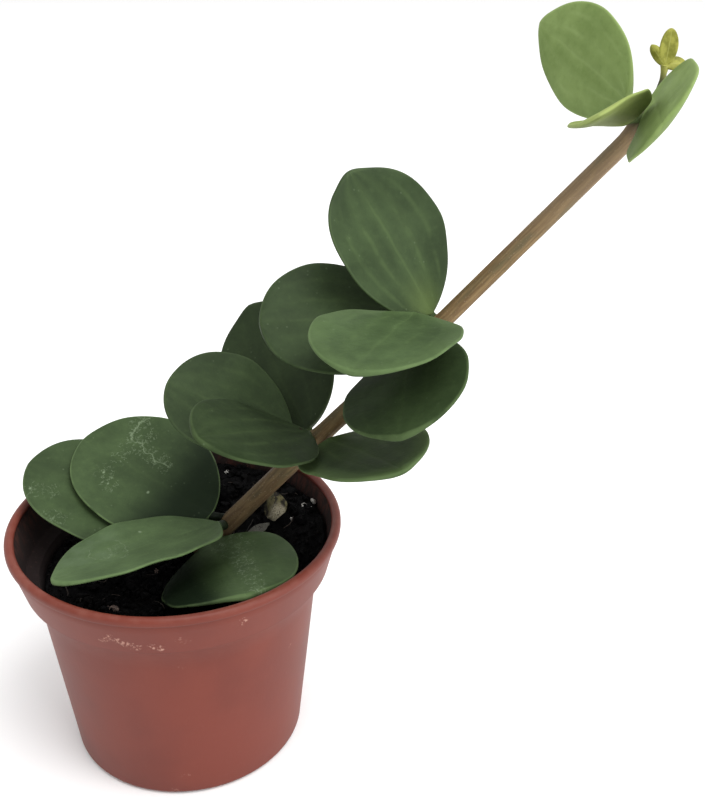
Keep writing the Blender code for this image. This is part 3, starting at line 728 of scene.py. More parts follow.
def break_bit(name, spot, size, turn, dents, cuts, seed):
    """A rough piece: a ball cut flat on several sides, dented, and flattened below."""
    start_alone()
    bpy.ops.mesh.primitive_ico_sphere_add(subdivisions=5, radius=0.5)
    bit = bpy.context.object
    bit.name = name
    drawn = random.Random(seed)
    shift = Vector(drawn.uniform(0, 50) for _ in range(3))
    for _ in range(cuts):
        # Corners beyond a flat cut are pushed back onto it
        facing = Vector((drawn.uniform(-1, 1), drawn.uniform(-1, 1), drawn.uniform(-0.4, 1))).normalized()
        reach = drawn.uniform(0.27, 0.4)
        for corner in bit.data.vertices:
            beyond = corner.co.dot(facing) - reach
            if beyond > 0:
                corner.co -= facing * beyond
    for corner in bit.data.vertices:
        rough = 0.10 * noise.noise(corner.co * 3.2 + shift) + 0.05 * noise.noise(corner.co * 9.0 + shift)
        ridge = abs(noise.noise(Vector((corner.co.x * 2.0, corner.co.y * 7.0, corner.co.z * 2.0)) + shift))
        corner.co *= 0.96 + dents * rough - 0.06 * dents * ridge
        corner.co.z = max(corner.co.z, -0.38)
    lowest = min(corner.co.z for corner in bit.data.vertices) * size[2]
    for corner in bit.data.vertices:
        x, y = corner.co.x * size[0], corner.co.y * size[1]
        turned_x = spot[0] + x * math.cos(turn) - y * math.sin(turn)
        turned_y = spot[1] + x * math.sin(turn) + y * math.cos(turn)
        level = bank_height(turned_x, turned_y) + BIT_LIFT
        corner.co = (turned_x, turned_y, level + corner.co.z * size[2] - lowest)
    return bit


chip = break_bit("bark_piece", CHIP_PLACE, CHIP_SIZE, CHIP_TURN, dents=0.8, cuts=16, seed=3)
flake = break_bit("bark_flake_grey", FLAKE_PLACE, FLAKE_SIZE, FLAKE_TURN, dents=1.2, cuts=10, seed=8)


def bark_finish(name, light, dark, tip):
    """Banded, pitted bark; its end towards the front is dabbed with the tip's colour."""
    finish = start_finish(name, roughness=0.85, specular=0.3)
    place = here()
    bands = cloud(stretched(place, 1.0, 0.5, 0.6), 1.1, 5.0, 0.7)
    pits = cloud(place, 0.22, 3.0, 0.6)
    colour = coat_over(light, dark, rise(bands, 0.44, 0.56))
    colour = coat_over(colour, dark, rise(pits, 0.55, 0.68) * 0.7)
    front = rise(axis_of(place, 1), CHIP_PLACE[1] - 1.2, CHIP_PLACE[1] - 3.0)
    colour = coat_over(colour, tip, front * rise(pits, 0.35, 0.5))
    return end_finish(finish, colour, height=bands * -1.6 + pits * 0.6, depth=0.4)


BARK_YELLOW = (0.135, 0.12, 0.052)
BARK_GREY = (0.17, 0.165, 0.14)
chip_skin = bark_finish("yellow bark", BARK_YELLOW, (0.016, 0.013, 0.007), (0.4, 0.36, 0.26))
put_in_place(chip, chip_skin, "bark", "bark_chip", crease=50.0)
flake_skin = bark_finish("grey bark", BARK_GREY, (0.012, 0.011, 0.009), BARK_GREY)
put_in_place(flake, flake_skin, "bark_grey", "bark_flake", crease=50.0)


# The stem is one fleshy brown shoot, round in section, rooted in the soil and leaning out over
# the right of the pot. It is a little swollen where each whorl of leaves grows from it.
THIRD_NODE = Vector((53.0, 1.0, 95.5))
TOP_NODE = Vector((88.5, 0.0, 135.0))
STEM_END = Vector((90.3, 0.0, 138.6))
STEM_RADII = (
    (LOW_NODE, 2.1), (SECOND_NODE, 1.95), (THIRD_NODE, 1.7), (TOP_NODE, 1.65), (STEM_END, 1.1),
)
STEM_SIDES = 40
STEM_RINGS = 230
ROOTED_DEPTH = 18.0
NODE_SWELLING = 0.4
NODE_LENGTH = 2.2
BEND_EASE = 2.0


def stem_radius(spot):
    """The radius between whorls, tapering upwards, with a swelling at each."""
    radius = STEM_RADII[0][1]
    for (low, low_radius), (high, high_radius) in zip(STEM_RADII, STEM_RADII[1:]):
        if spot.z >= low.z:
            share = min(1.0, (spot.z - low.z) / (high.z - low.z))
            radius = between(low_radius, high_radius, share)
    for node in (SECOND_NODE, THIRD_NODE, TOP_NODE):
        radius += NODE_SWELLING * math.exp(-(((spot - node).length / NODE_LENGTH) ** 2))
    return radius


def draw_tube(name, sides, rings, place_corner):
    """A closed cylinder cut into rings, each corner then moved by its ring and its turn round it."""
    start_alone()
    bpy.ops.mesh.primitive_cylinder_add(vertices=sides, radius=1.0, depth=1.0, end_fill_type="TRIFAN")
    tube = bpy.context.object
    tube.name = name
    bpy.context.tool_settings.mesh_select_mode = (False, True, False)
    bpy.ops.object.mode_set(mode="EDIT")
    bpy.ops.mesh.select_all(action="DESELECT")
    bpy.ops.object.mode_set(mode="OBJECT")
    for edge in tube.data.edges:
        ends = [tube.data.vertices[i].co.z for i in edge.vertices]
        edge.select = abs(ends[0] - ends[1]) > 0.5
    bpy.ops.object.mode_set(mode="EDIT")
    bpy.ops.mesh.subdivide(number_cuts=rings - 2)
    bpy.ops.object.mode_set(mode="OBJECT")
    for corner in tube.data.vertices:
        ring = round((corner.co.z + 0.5) * (rings - 1))
        middle = math.hypot(corner.co.x, corner.co.y) < 0.5
        corner.co = place_corner(corner.index, ring, math.atan2(corner.co.y, corner.co.x), middle)
    face_outward(tube)
    return tube


stem_root = LOW_NODE - STEM_SLOPE * ((LOW_NODE.z - SOIL_LEVEL) / STEM_SLOPE.z + ROOTED_DEPTH)
stem_stops = [stem_root, LOW_NODE, SECOND_NODE, THIRD_NODE, TOP_NODE, STEM_END]
stem_lengths = [(b - a).length for a, b in zip(stem_stops, stem_stops[1:])]


def stem_point(distance):
    """A place on the straight stretches between whorls, this far along from the rooted end."""
    for a, b, length in zip(stem_stops, stem_stops[1:], stem_lengths):
        if distance <= length:
            return a.lerp(b, distance / length)
        distance -= length
    return stem_stops[-1] + (stem_stops[-1] - stem_stops[-2]).normalized() * distance


def stem_middle(distance):
    """The stem's middle line, with each bend eased over a few millimetres."""
    around = [stem_point(max(0.0, distance + step * BEND_EASE)) for step in (-1, 0, 1)]
    return (around[0] + around[1] * 2 + around[2]) / 4


def stem_corner(_, ring, turn, middle):
    """A corner of the stem, which is slightly ribbed and uneven and has a pinched tip."""
    distance = sum(stem_lengths) * ring / (STEM_RINGS - 1)
    centre = stem_middle(distance)
    way = (stem_middle(distance + 0.5) - stem_middle(max(0.0, distance - 0.5))).normalized()
    if middle:
        return centre + way * (0.5 if ring else -0.6)
    side = Vector((0, 1, 0)).cross(way).normalized()
    other = way.cross(side)
    radius = stem_radius(centre)
    radius *= 1 + 0.018 * math.sin(5 * turn + distance * 0.05) + 0.02 * noise.noise(centre * 0.35)
    if ring == STEM_RINGS - 1:
        radius *= 0.75
    return centre + side * (radius * math.cos(turn)) + other * (radius * math.sin(turn))


stem = draw_tube("plant_stem", STEM_SIDES, STEM_RINGS, stem_corner)

STEM_BROWN = (0.135, 0.083, 0.037)
STEM_GOLD = (0.22, 0.148, 0.066)
STEM_DARK = (0.035, 0.026, 0.017)
STEM_PINK = (0.2, 0.15, 0.1)
STEM_OLIVE = (0.085, 0.08, 0.04)
STEM_DOT = (0.3, 0.23, 0.15)
STEM_LEAN = math.radians(-42)

stem_bark = start_finish("stem bark", specular=0.2)
place = here()
up_stem = axis_of(place, 2)
# Turned so that its third direction runs along the stem, which leans at about forty-two degrees
turned = Tone.node("Mapping", values={"Vector": place, "Rotation": (0.0, STEM_LEAN, 0.0)})
lengthwise = cloud(stretched(turned, 1.0, 1.0, 0.07), 0.55, 4.0, 0.6)
patches = cloud(stretched(turned, 1.0, 1.0, 0.3), 2.6, 3.0)
colour = coat_over(STEM_BROWN, STEM_GOLD, rise(lengthwise, 0.38, 0.66))
colour = coat_over(colour, STEM_OLIVE, rise(patches, 0.46, 0.7) * 0.6)
colour = coat_over(colour, STEM_PINK, rise(up_stem, 108.0, 126.0) * 0.4)
# Painted shadow: the lower stem is made darker, where the leaves above shade it.
colour = coat_over(colour, STEM_DARK, rise(up_stem, 80.0, 54.0) * 0.5)
dots = flecks(stretched(turned, 1.0, 1.0, 0.6), 0.36, 0.55)
colour = coat_over(colour, STEM_DOT, dots * 0.42)
for node in (SECOND_NODE, THIRD_NODE, TOP_NODE):
    near_node = rise(vectors("DISTANCE", place, node, "Value"), 3.2, 1.6)
    colour = coat_over(colour, STEM_DARK, near_node * rise(lengthwise, 0.3, 0.6) * 0.6)
# Above the top node the stem turns olive and darker: partly the young tissue's own colour, partly painted
# shade.
colour = coat_over(colour, STEM_OLIVE, rise(up_stem, TOP_NODE.z + 0.3, TOP_NODE.z + 1.6) * 0.9)
end_finish(stem_bark, colour, 0.5 + lengthwise * 0.2, lengthwise * 0.8 + dots * 0.5, 0.08)
put_in_place(stem, stem_bark, "stem", "stem", crease=60.0)


# Each leaf is one fleshy round blade on a short stalk. Its upper face is a waxy deep green with a
# faint paler midrib and side veins that run from the stalk to the point, and a thin lighter rim.
# The four lowest leaves stand just over the soil. They are the oldest and carry pale scars.
LEAF_SIDES = 64
STALK_RINGS = 12
BLADE_RINGS = 74
STALK_RADIUS = 1.0
LEAF_POINT = 1.1
BLUNT_POINT = 0.25
POINT_WIDTH = 3.2
THICK = 1.5
ROOT_SINK = 0.5
MIDRIB_DEPTH = 0.16


def leaf_axes(heading, lift, roll):
    """A leaf's own directions: along the midrib, across to the right, and out of its upper face."""
    h, e, r = math.radians(heading), math.radians(lift), math.radians(roll)
    along = Vector((math.cos(h) * math.cos(e), math.sin(h) * math.cos(e), math.sin(e)))
    level = Vector((math.sin(h), -math.cos(h), 0.0))
    upward = level.cross(along)
    across = level * math.cos(r) + upward * math.sin(r)
    face = upward * math.cos(r) - level * math.sin(r)
    return along, across, face


def half_width(share, wide, base_full, full):
    """A rounded outline: fuller or slimmer towards the stalk and towards the point."""
    fullness = base_full if share < 0.5 else full
    return wide / 2 * max(0.0, 1 - abs(2 * share - 1) ** fullness) ** (1 / fullness)


def stalk_start(node, around, up):
    """Where a stalk leaves the stem: around it in degrees, and up along it from the node."""
    along = (TOP_NODE - LOW_NODE).normalized()
    under = Vector((0, 1, 0)).cross(along).normalized()
    back = along.cross(under)
    a = math.radians(around)
    outward = under * math.cos(a) + back * math.sin(a)
    centre = node + along * up
    return centre + outward * (stem_radius(centre) - ROOT_SINK), outward


def stalk_point(start, start_way, end, end_way, t):
    """A place on the stalk, which leaves the stem and meets the blade in given directions."""
    reach = (end - start).length
    bent = start * (2 * t**3 - 3 * t**2 + 1) + end * (3 * t**2 - 2 * t**3)
    return bent + (start_way * (t**3 - 2 * t**2 + t) + end_way * (t**3 - t**2)) * reach


def grow_leaf(name, node, around, up, reach, heading, lift, roll, long, wide, cup=1.5, curl=1.5,
              base_full=1.9, full=2.1, twist=0.0, thick=THICK, stalk=STALK_RADIUS, point=LEAF_POINT,
              start=None, wave=0.16, seed=0.0):
    """One leaf: rings along a stalk that leaves the stem, then along the blade to its point.

    Its corners keep two things for the finish. on_blade is how far across and along the blade they
    are, and how far from its edge. flat is their place on the blade laid flat, and 1 underneath.
    """
    along, across, face = leaf_axes(heading, lift, roll)
    root, outward = start or stalk_start(node, around, up)
    base = node + Vector(reach)
    on_blade, flat = {}, {}

    def leaf_corner(index, ring, turn, middle):
        turn = -turn
        u, rim = math.cos(turn), math.sin(turn)
        under = max(0.0, min(1.0, -rim * 3))
        if ring < STALK_RINGS:
            t = ring / STALK_RINGS
            centre = stalk_point(root, outward, base, along, t)
            way = outward.lerp(along, t).normalized()
            side = (across - way * across.dot(way)).normalized()
            radius = stalk * (1 + 0.25 * math.exp(-((t / 0.2) ** 2)))
            on_blade[index] = (u, t - 1.0, 9.0)
            flat[index] = (u * radius, (t - 1.0) * 6.0, under)
            if middle:
                return root - outward * 0.2
            return centre + side * (u * radius) + side.cross(way) * (rim * radius * 0.92)
        if middle:
            end = long + point
            on_blade[index] = (0.0, 1.0, 0.0)
            flat[index] = (0.0, end, 0.0)
            return base + along * end - face * (curl * (end / long) ** 2)
        k = ring - STALK_RINGS
        share = (1 - math.cos(math.pi * (k + 0.35) / (BLADE_RINGS + 0.1))) / 2
        half = half_width(share, wide, base_full, full)
        slope = (half_width(share + 0.004, wide, base_full, full) - half) / (0.004 * long)
        y = long * share
        slice_thick = thick
        if share > 0.5:
            y += point * math.exp(-((half / POINT_WIDTH) ** 2))
            slice_thick *= min(1.0, 0.45 + half / (3.5 * thick))
        else:
            slice_thick += (2 * stalk - thick) * math.exp(-((share / 0.07) ** 2))
            half = max(half, stalk * (0.92 + 0.08 * math.exp(-share * 30)))
        x = half * u
        z = slice_thick / 2 * math.copysign(abs(rim) ** 0.7, rim)
        fullness = min(1.0, half / 4.0)
        if rim > 0:
            z -= MIDRIB_DEPTH * fullness * math.exp(-((x / 0.9) ** 2)) * (1 - 0.6 * share)
        else:
            z -= MIDRIB_DEPTH * fullness * math.exp(-((x / 0.7) ** 2)) * (1 - share)
        ripple = wave * (x / (wide / 2)) ** 2 * math.sin(y * 0.55 + seed + (1.3 if x > 0 else 0.0))
        ripple += 0.12 * fullness * noise.noise(Vector((x * 0.16, y * 0.16, seed)))
        tilt = math.atan(2 * cup * x / (wide / 2) ** 2)
        flat_x = x - z * math.sin(tilt)
        flat_z = cup * (x / (wide / 2)) ** 2 + z * math.cos(tilt) + ripple
        lean = math.radians(twist) * (share - 0.5)
        turned_x = flat_x * math.cos(lean) - flat_z * math.sin(lean)
        turned_z = flat_z * math.cos(lean) + flat_x * math.sin(lean)
        fall = math.atan(2 * curl * y / long**2)
        slope_face = face * math.cos(fall) + along * math.sin(fall)
        centre = base + along * y - face * (curl * (y / long) ** 2)
        on_blade[index] = (u, share, half * (1 - abs(u)) / math.sqrt(1 + slope * slope))
        flat[index] = (x, y, under)
        return centre + across * turned_x + slope_face * turned_z

    leaf = draw_tube(name, LEAF_SIDES, STALK_RINGS + BLADE_RINGS, leaf_corner)
    for label, kept in (("on_blade", on_blade), ("flat", flat)):
        layer = leaf.data.attributes.new(label, "FLOAT_VECTOR", "POINT")
        for index, value in kept.items():
            layer.data[index].vector = value
    return leaf


LEAF_DEEP = (0.022, 0.036, 0.0142)
LEAF_GREEN = (0.034, 0.0545, 0.0215)
VEIN_PALE = (0.075, 0.115, 0.042)
RIM_PALE = (0.1, 0.15, 0.06)
UNDER_PALE = (0.05, 0.08, 0.032)
STALK_GREEN = (0.04, 0.06, 0.022)
# Painted shade: the stalks of the low leaves, which lie in shadow under their blades, are made nearly black.
STALK_PAINTED_SHADE = (0.005, 0.008, 0.004)
FAN_GREEN = (0.09, 0.13, 0.04)
SCAR_PALE = (0.2, 0.26, 0.16)
DAB_DARK = (0.02, 0.012, 0.006)
WAX_AND_SHEEN_GREY = (0.085, 0.12, 0.072)
PAINTED_SHADOW_BLUE = (0.006, 0.012, 0.006)
UNDER_TONE_MOST = 1.15


def toned(colour, tone_and_painted_light):
    """The colour made this many times as bright."""
    return tuple(part * tone_and_painted_light for part in colour)


def leaf_veins(place, u, share, x, y, side_show):
    """The creases of the main veins, and how all veins show, with the ribs between them and a halo."""
    wander = cloud(place, 7.0, 2.0) - 0.5
    away = abs(u + wander * 0.12)
    midrib = rise(away, 0.07, 0.0)
    beside = larger(rise(abs(away - 0.36), 0.09, 0.0), rise(abs(away - 0.7), 0.08, 0.0) * 0.7)
    halo = larger(rise(away, 0.2, 0.0), rise(abs(away - 0.36), 0.2, 0.0) * 0.8)
    ribs = Tone.maths("FRACT", (y - abs(x) * 0.95) / 4.6 + wander * 0.5)
    ribs = rise(abs(ribs - 0.5), 0.2, 0.0) * rise(away, 0.02, 0.1) * rise(away, 0.92, 0.6)
    broken = rise(cloud(place, 4.5, 2.0), 0.36, 0.62)
    drawn = larger(midrib, beside * broken, ribs * side_show * broken)
    drawn = drawn * rise(share, 0.98, 0.7) * rise(share, -0.02, 0.06)
    return larger(midrib, beside * 0.6), larger(drawn, halo * 0.45)


def cell_edges(place, size):
    """The distance to the border between cells of about this size."""
    values = {"Vector": place, "Scale": 1.0 / size}
    return Tone.node("TexVoronoi", {"feature": "DISTANCE_TO_EDGE"}, values, "Distance")


def shaken(surface, scale, detail, reach):
    """The places moved about at random, each up to this far."""
    values = {"Vector": surface, "Scale": scale, "Detail": detail}
    way = Tone.node("TexNoise", values=values, output="Color")
    return vectors("ADD", surface, vectors("SCALE", way, reach))


def scar_marks(surface, lines, width):
    """Dry scars along shaky lines, with a ragged crust beside them."""
    jagged = cloud(surface, 0.7, 4.0, 0.7)
    moved = vectors("SUBTRACT", shaken(surface, 1.0, 3.0, 1.6), (0.8, 0.8, 0.8))
    moved = stretched(moved, 1.0, 1.0, 0.0)
    near = marks(moved, lines, width * 4)
    crust = rise(jagged + near * 0.14, 0.66, 0.74) * rise(near, 0.0, 0.3)
    return larger(marks(moved, lines, width) * rise(jagged, 0.3, 0.45), crust)


def web_marks(place, surface, lines):
    """Fine cracks in the skin that run together like a cobweb, thickest along the lines."""
    warped = shaken(surface, 0.9, 4.0, 4.0)
    near = marks(surface, lines, 3.2)
    patchy = rise(cloud(surface, 1.5, 3.0, 0.6), 0.47, 0.6)
    dense = rise(cloud(place, 1.1, 3.0, 0.6) + near * 0.08, 0.6, 0.68)
    wide = rise(cell_edges(warped, 2.1), 0.055, 0.005) * patchy
    tight = rise(cell_edges(warped, 0.8), 0.12, 0.01) * dense * 0.8
    return larger(wide, tight) * rise(near, 0.0, 0.55)


def leaf_finish(name, tone_and_painted_light=1.0, deep=LEAF_DEEP, green=LEAF_GREEN, vein=VEIN_PALE, rim=RIM_PALE,
                under=UNDER_PALE, stalk=STALK_GREEN, sheen=0.1, vein_show=0.22, side_show=0.2,
                rim_show=0.2, rim_width=0.5, paler_edge=0.0, fan=0.0, speckle=0.15, shade=None,
                wax_and_sheen=None, scars=(), scar_width=0.3, scar_show=0.6, webs=(), dots=()):
    """A leaf's skin, with painted light in it: its tone, a painted shadow and a painted waxy sheen. Its
    scars, webs, dots, shadow and wax are placed in (x, y) on the blade laid flat.
    """
    finish = start_finish(name, specular=sheen)
    place = here()
    u, share, edge = (axis_of(stored("on_blade"), i) for i in range(3))
    x, y, lower = (axis_of(stored("flat"), i) for i in range(3))
    surface = Tone.node("CombineXYZ", values={0: x, 1: y, 2: 0.0})
    mottle = cloud(place, 8.0, 3.0, 0.5)
    velvet = cloud(place, 1.3, 4.0, 0.65)
    pale_vein = toned(vein, tone_and_painted_light)
    # The leaf's tone scales all its colours: partly its own lighter or darker green, partly painted light,
    # low for leaves that stand in shade and high for lit ones.
    colour = coat_over(toned(deep, tone_and_painted_light), toned(green, tone_and_painted_light), rise(mottle, 0.25, 0.75))
    colour = coat_over(colour, pale_vein, rise(velvet, 0.5, 0.8) * 0.14)
    colour = coat_over(colour, toned(deep, tone_and_painted_light * 0.75), rise(velvet, 0.5, 0.25) * 0.3)
    creases, veins = leaf_veins(place, u, share, x, y, side_show)
    colour = coat_over(colour, pale_vein, veins * vein_show)
    if fan:
        colour = coat_over(colour, FAN_GREEN, rise(share, 0.34, 0.0) * rise(abs(x), 7.0, 0.0) * fan)
    if paler_edge:
        colour = coat_over(colour, pale_vein, rise(edge, 5.0, 0.6) * paler_edge)
    # Painted shadow: the blade is darkened beyond a line across it, where a leaf above casts its shadow.
    if shade:
        way_x, way_y, start, end, strength = shade
        colour = coat_over(colour, PAINTED_SHADOW_BLUE, rise(x * way_x + y * way_y, start, end) * strength)
    # A pale waxy patch on the blade: partly the leaf's wax, partly a painted sheen where the light catches
    # it.
    if wax_and_sheen:
        spot_x, spot_y, radius, strength = wax_and_sheen
        off = vectors("DISTANCE", surface, (spot_x, spot_y, 0.0), "Value")
        wax_and_sheen_mask = rise(cloud(place, 4.0, 4.0, 0.6), 0.3, 0.7) * rise(off, radius, radius * 0.15)
        colour = coat_over(colour, WAX_AND_SHEEN_GREY, wax_and_sheen_mask * strength)
    rim_band = rise(edge, rim_width, rim_width * 0.25) * rise(cloud(place, 5.0, 2.0), 0.25, 0.6)
    colour = coat_over(colour, toned(rim, tone_and_painted_light), rim_band * rim_show)
    specks = flecks(place, 0.9, 0.1) * rise(cloud(place, 6.0, 2.0), 0.45, 0.6)
    colour = coat_over(colour, SCAR_PALE, specks * speckle)
    raised = specks * 0.3
    if scars:
        scar = scar_marks(surface, scars, scar_width)
        colour = coat_over(colour, SCAR_PALE, scar * scar_show)
        raised = larger(raised, scar)
    if webs:
        web = web_marks(place, surface, webs)
        colour = coat_over(colour, SCAR_PALE, web * scar_show)
        raised = larger(raised, web * 0.6)
    for spot_x, spot_y, radius, strength in dots:
        spot = marks(surface, (((spot_x - 0.1, spot_y), (spot_x + 0.1, spot_y)),), radius)
        colour = coat_over(colour, SCAR_PALE if strength > 0 else DAB_DARK, spot * abs(strength))
    colour = coat_over(colour, toned(under, min(tone_and_painted_light, UNDER_TONE_MOST)), lower * 0.75)
    colour = coat_over(colour, stalk, rise(share, 0.03, -0.08) * 0.9)
    pores = cloud(place, 0.6, 3.0, 0.6) * 0.1 + rise(cell_edges(surface, 1.5), 0.0, 0.3) * 0.25
    height = pores - creases * 0.6 + raised * 0.8
    return end_finish(finish, colour, 0.5 + mottle * 0.1 + raised * 0.2, height)


def hang_leaf(node_name, whorl_node, *pose, slot="leaf", skin=None, **form):
    """Grows the leaf for one node of the frame and finishes it; leaf_low_left gives low_leaf_left.

    The pose is: around the stem, up it, reach from the node, heading, lift, roll, long, wide.
    """
    _, whorl, side = node_name.split("_")
    leaf = grow_leaf(f"{whorl}_leaf_{side}", whorl_node, *pose, **form)
    skin = leaf_finish(f"{whorl} leaf {side} skin", **skin)
    put_in_place(leaf, skin, slot, node_name, crease=70.0)


# Each leaf's tone is partly painted light: leaves that stand in shade get a low one and lit leaves a high
# one.
hang_leaf(
    "leaf_low_left", LOW_NODE, 185, -2.5, (-7.5, 0.5, 0.0), 174, 22, 14, 37, 28.5,
    cup=1, curl=1, full=2.2, point=BLUNT_POINT, seed=1.0,
    skin=dict(
        tone_and_painted_light=1.3, vein_show=0.12, speckle=0.2, rim_show=0.35, rim_width=0.4, scar_show=0.35,
        webs=(((-6.3, 33.5), (-5.0, 30.0)), ((-12.0, 27.5), (-11.0, 25.0))),
        scars=(((-12.9, 26.9), (-11.7, 26.5)),), dots=((-6.3, 34.0, 0.4, 0.6),),
    ),
)
# The low back leaf carries a painted shadow on one side, cast by the leaf above it.
hang_leaf(
    "leaf_low_back", LOW_NODE, 165, 1.5, (-2.5, -0.5, 3.5), 158, 23, 22, 33.5, 29,
    cup=2, curl=2, twist=-8, point=BLUNT_POINT, seed=2.0,
    skin=dict(
        tone_and_painted_light=1.5, vein_show=0.1, rim_show=0.5, rim_width=0.4, stalk=STALK_PAINTED_SHADE, scar_show=0.55,
        shade=(0.0, -1.0, -19.0, -7.0, 0.86), scar_width=0.2,
        scars=(((7.0, 26.0), (5.3, 24.2), (6.0, 22.0), (4.4, 20.5), (4.9, 18.6), (3.8, 17.2),
                (4.5, 15.6), (4.3, 14.0)), ((12.6, 24.6), (10.0, 25.7), (6.8, 25.6))),
        webs=(((5.3, 24.2), (4.8, 19.3), (4.3, 15.0)), ((10.0, 25.7), (8.5, 22.5)),
              ((-4.9, 24.5), (-6.8, 22.0)), ((5.0, 24.0), (0.5, 24.0))),
        dots=((-4.9, 24.5, 0.35, 0.7), (-6.8, 22.0, 0.3, 0.6), (-3.5, 14.0, 0.4, 0.7)),
    ),
)
hang_leaf(
    "leaf_low_front", LOW_NODE, 235, 1.5, (0, -8.5, 6.0), 217, 5, -11, 35.5, 24,
    cup=2, full=1.95, twist=-4, seed=3.0,
    skin=dict(
        tone_and_painted_light=2.2, wax_and_sheen=(7.0, 27.0, 13.0, 0.5), vein_show=0.08, side_show=0.1, rim_show=0.2,
        speckle=0.1, scar_width=0.12, scar_show=0.35, under=(0.038, 0.061, 0.025), stalk=STALK_PAINTED_SHADE,
        webs=(((3.0, 21.0), (1.5, 24.0)),),
        scars=(((6.2, 20.2), (3.4, 19.8), (0.0, 20.7), (-2.1, 22.1), (-1.9, 22.9)),
               ((6.0, 26.0), (3.6, 27.2), (1.2, 26.6), (0.2, 24.8), (1.6, 23.2), (4.4, 22.8))),
        dots=((6.2, 14.8, 0.45, 0.8),),
    ),
)
# The low right leaf carries a painted shadow on one side, cast by the low front leaf over it.
hang_leaf(
    "leaf_low_right", LOW_NODE, 265, -1.5, (-2.5, -4.5, -1.5), 291, 12, -11, 28.5, 28.5,
    cup=-1, curl=0, full=2.35, twist=19, seed=4.0,
    skin=dict(
        tone_and_painted_light=1.85, vein_show=0.08, rim_show=0.3, under=(0.04, 0.064, 0.026), stalk=STALK_PAINTED_SHADE,
        shade=(1.0, 0.0, 0.0, 8.0, 0.92), scar_show=0.8,
        webs=(((-4.5, 1.5), (-4.3, 8.8), (-3.3, 15.9), (-2.9, 23.1), (-2.3, 28.0)),
              ((-4.3, 8.8), (-5.9, 7.9)), ((-1.1, 4.9), (-2.5, 12.0))),
    ),
)


# The second whorl has four leaves at the pot's right: one behind, one in front of the stem, one
# upright at the back, and one that reaches over the pot's edge towards the viewer.
hang_leaf(
    "leaf_second_left", SECOND_NODE, 215, -1.5, (-3.5, -2.0, 2.5), 179, 27, 21, 27.5, 26.5,
    cup=2.5, curl=0, base_full=1.8, full=2.15, twist=10, point=BLUNT_POINT, seed=5.0,
    skin=dict(tone_and_painted_light=0.97),
)
hang_leaf(
    "leaf_second_front", SECOND_NODE, 238, 1.8, (-0.5, -7.0, 6.5), 236, 25, 19, 32, 22,
    cup=0.75, curl=1.75, base_full=1.8, full=2.0, twist=8, seed=6.0,
    skin=dict(tone_and_painted_light=0.73, vein_show=0.26, rim_show=0.4, rim_width=0.4, under=(0.034, 0.054, 0.022),
              sheen=0.03, dots=((0.6, 1.4, 0.5, -0.9),)),
)
hang_leaf(
    "leaf_second_upright", SECOND_NODE, 101, 0, (-0.5, 5.0, 1.0), 122, 36, 46, 32, 27,
    cup=1, seed=7.0,
    skin=dict(tone_and_painted_light=0.64, vein_show=0.12),
)
hang_leaf(
    "leaf_second_right", SECOND_NODE, 300, 0.5, (4.5, -3.0, 2.5), 295, 18, -10, 31.5, 24.5,
    curl=0.75, full=2.15, seed=8.0,
    skin=dict(tone_and_painted_light=1.06, rim_show=0.6, rim_width=1.0, paler_edge=0.5, sheen=0.04),
)


# The third whorl stands halfway up: one leaf to the left, one held out flat towards the viewer,
# one upright that shows its veins best, and one that hangs below the stem in the shade.
hang_leaf(
    "leaf_third_left", THIRD_NODE, 195, -1.5, (-4.0, -0.5, 1.75), 192, 7, 29, 29.5, 27,
    cup=1.75, curl=1.25, full=2.15, twist=9, point=BLUNT_POINT, seed=9.0,
    skin=dict(tone_and_painted_light=0.95, vein_show=0.2),
)
hang_leaf(
    "leaf_third_front", THIRD_NODE, 228, 1.5, (-4.0, -6.0, 5.5), 249, 8, 0, 31.5, 26.5,
    cup=2, curl=2, base_full=2.0, full=2.05, seed=10.0,
    skin=dict(tone_and_painted_light=1.65, vein_show=0.18, side_show=0.25, rim_show=0.25, paler_edge=0.2, sheen=0.06),
)
hang_leaf(
    "leaf_third_upright", THIRD_NODE, 155, 2.0, (-0.5, 1.5, 3.0), 162, 59, 32, 30.5, 25,
    cup=2, curl=0.75, base_full=1.8, full=2.2, twist=17, seed=11.0,
    skin=dict(tone_and_painted_light=1.12, vein_show=0.36, side_show=0.1, fan=0.75),
)
hang_leaf(
    "leaf_third_hanging", THIRD_NODE, 262, -1.5, (-4.0, -3.5, -1.5), 263, -4, -23, 31, 24.5,
    cup=0.5, curl=1, twist=10, seed=12.0,
    skin=dict(tone_and_painted_light=1.02, vein_show=0.12, rim_show=0.4, sheen=0.03),
)


# The top whorl is three young leaves, smaller, thinner and a lighter yellow-green than the rest,
# with thin yellowish margins.
TOP_THICK = 1.3
YOUNG_SKIN = dict(
    deep=(0.085, 0.125, 0.036), green=(0.125, 0.175, 0.058), under=(0.16, 0.21, 0.09),
    vein=(0.19, 0.25, 0.1), rim=(0.24, 0.3, 0.12), speckle=0.03, side_show=0.1,
)
OLIVE_SKIN = dict(
    YOUNG_SKIN, deep=(0.095, 0.122, 0.034), green=(0.14, 0.168, 0.054), under=(0.09, 0.112, 0.036),
    sheen=0.04,
)
hang_leaf(
    "leaf_top_upright", TOP_NODE, 130, 0.5, (-1.5, 4.0, 4.5), 125, 23, 88, 25.5, 20,
    cup=-0.5, curl=0.75, base_full=1.85, full=1.85, twist=-3, thick=TOP_THICK, seed=13.0,
    slot="young_leaf", skin=dict(YOUNG_SKIN, tone_and_painted_light=1.6, vein_show=0.25),
)
hang_leaf(
    "leaf_top_front", TOP_NODE, 205, 1.5, (-3.5, -2.0, 2.0), 246, 16, -28, 24.5, 14,
    base_full=2.1, full=1.9, twist=-14, thick=TOP_THICK, seed=14.0,
    slot="young_leaf", skin=dict(OLIVE_SKIN, tone_and_painted_light=1.9, vein_show=0.12),
)
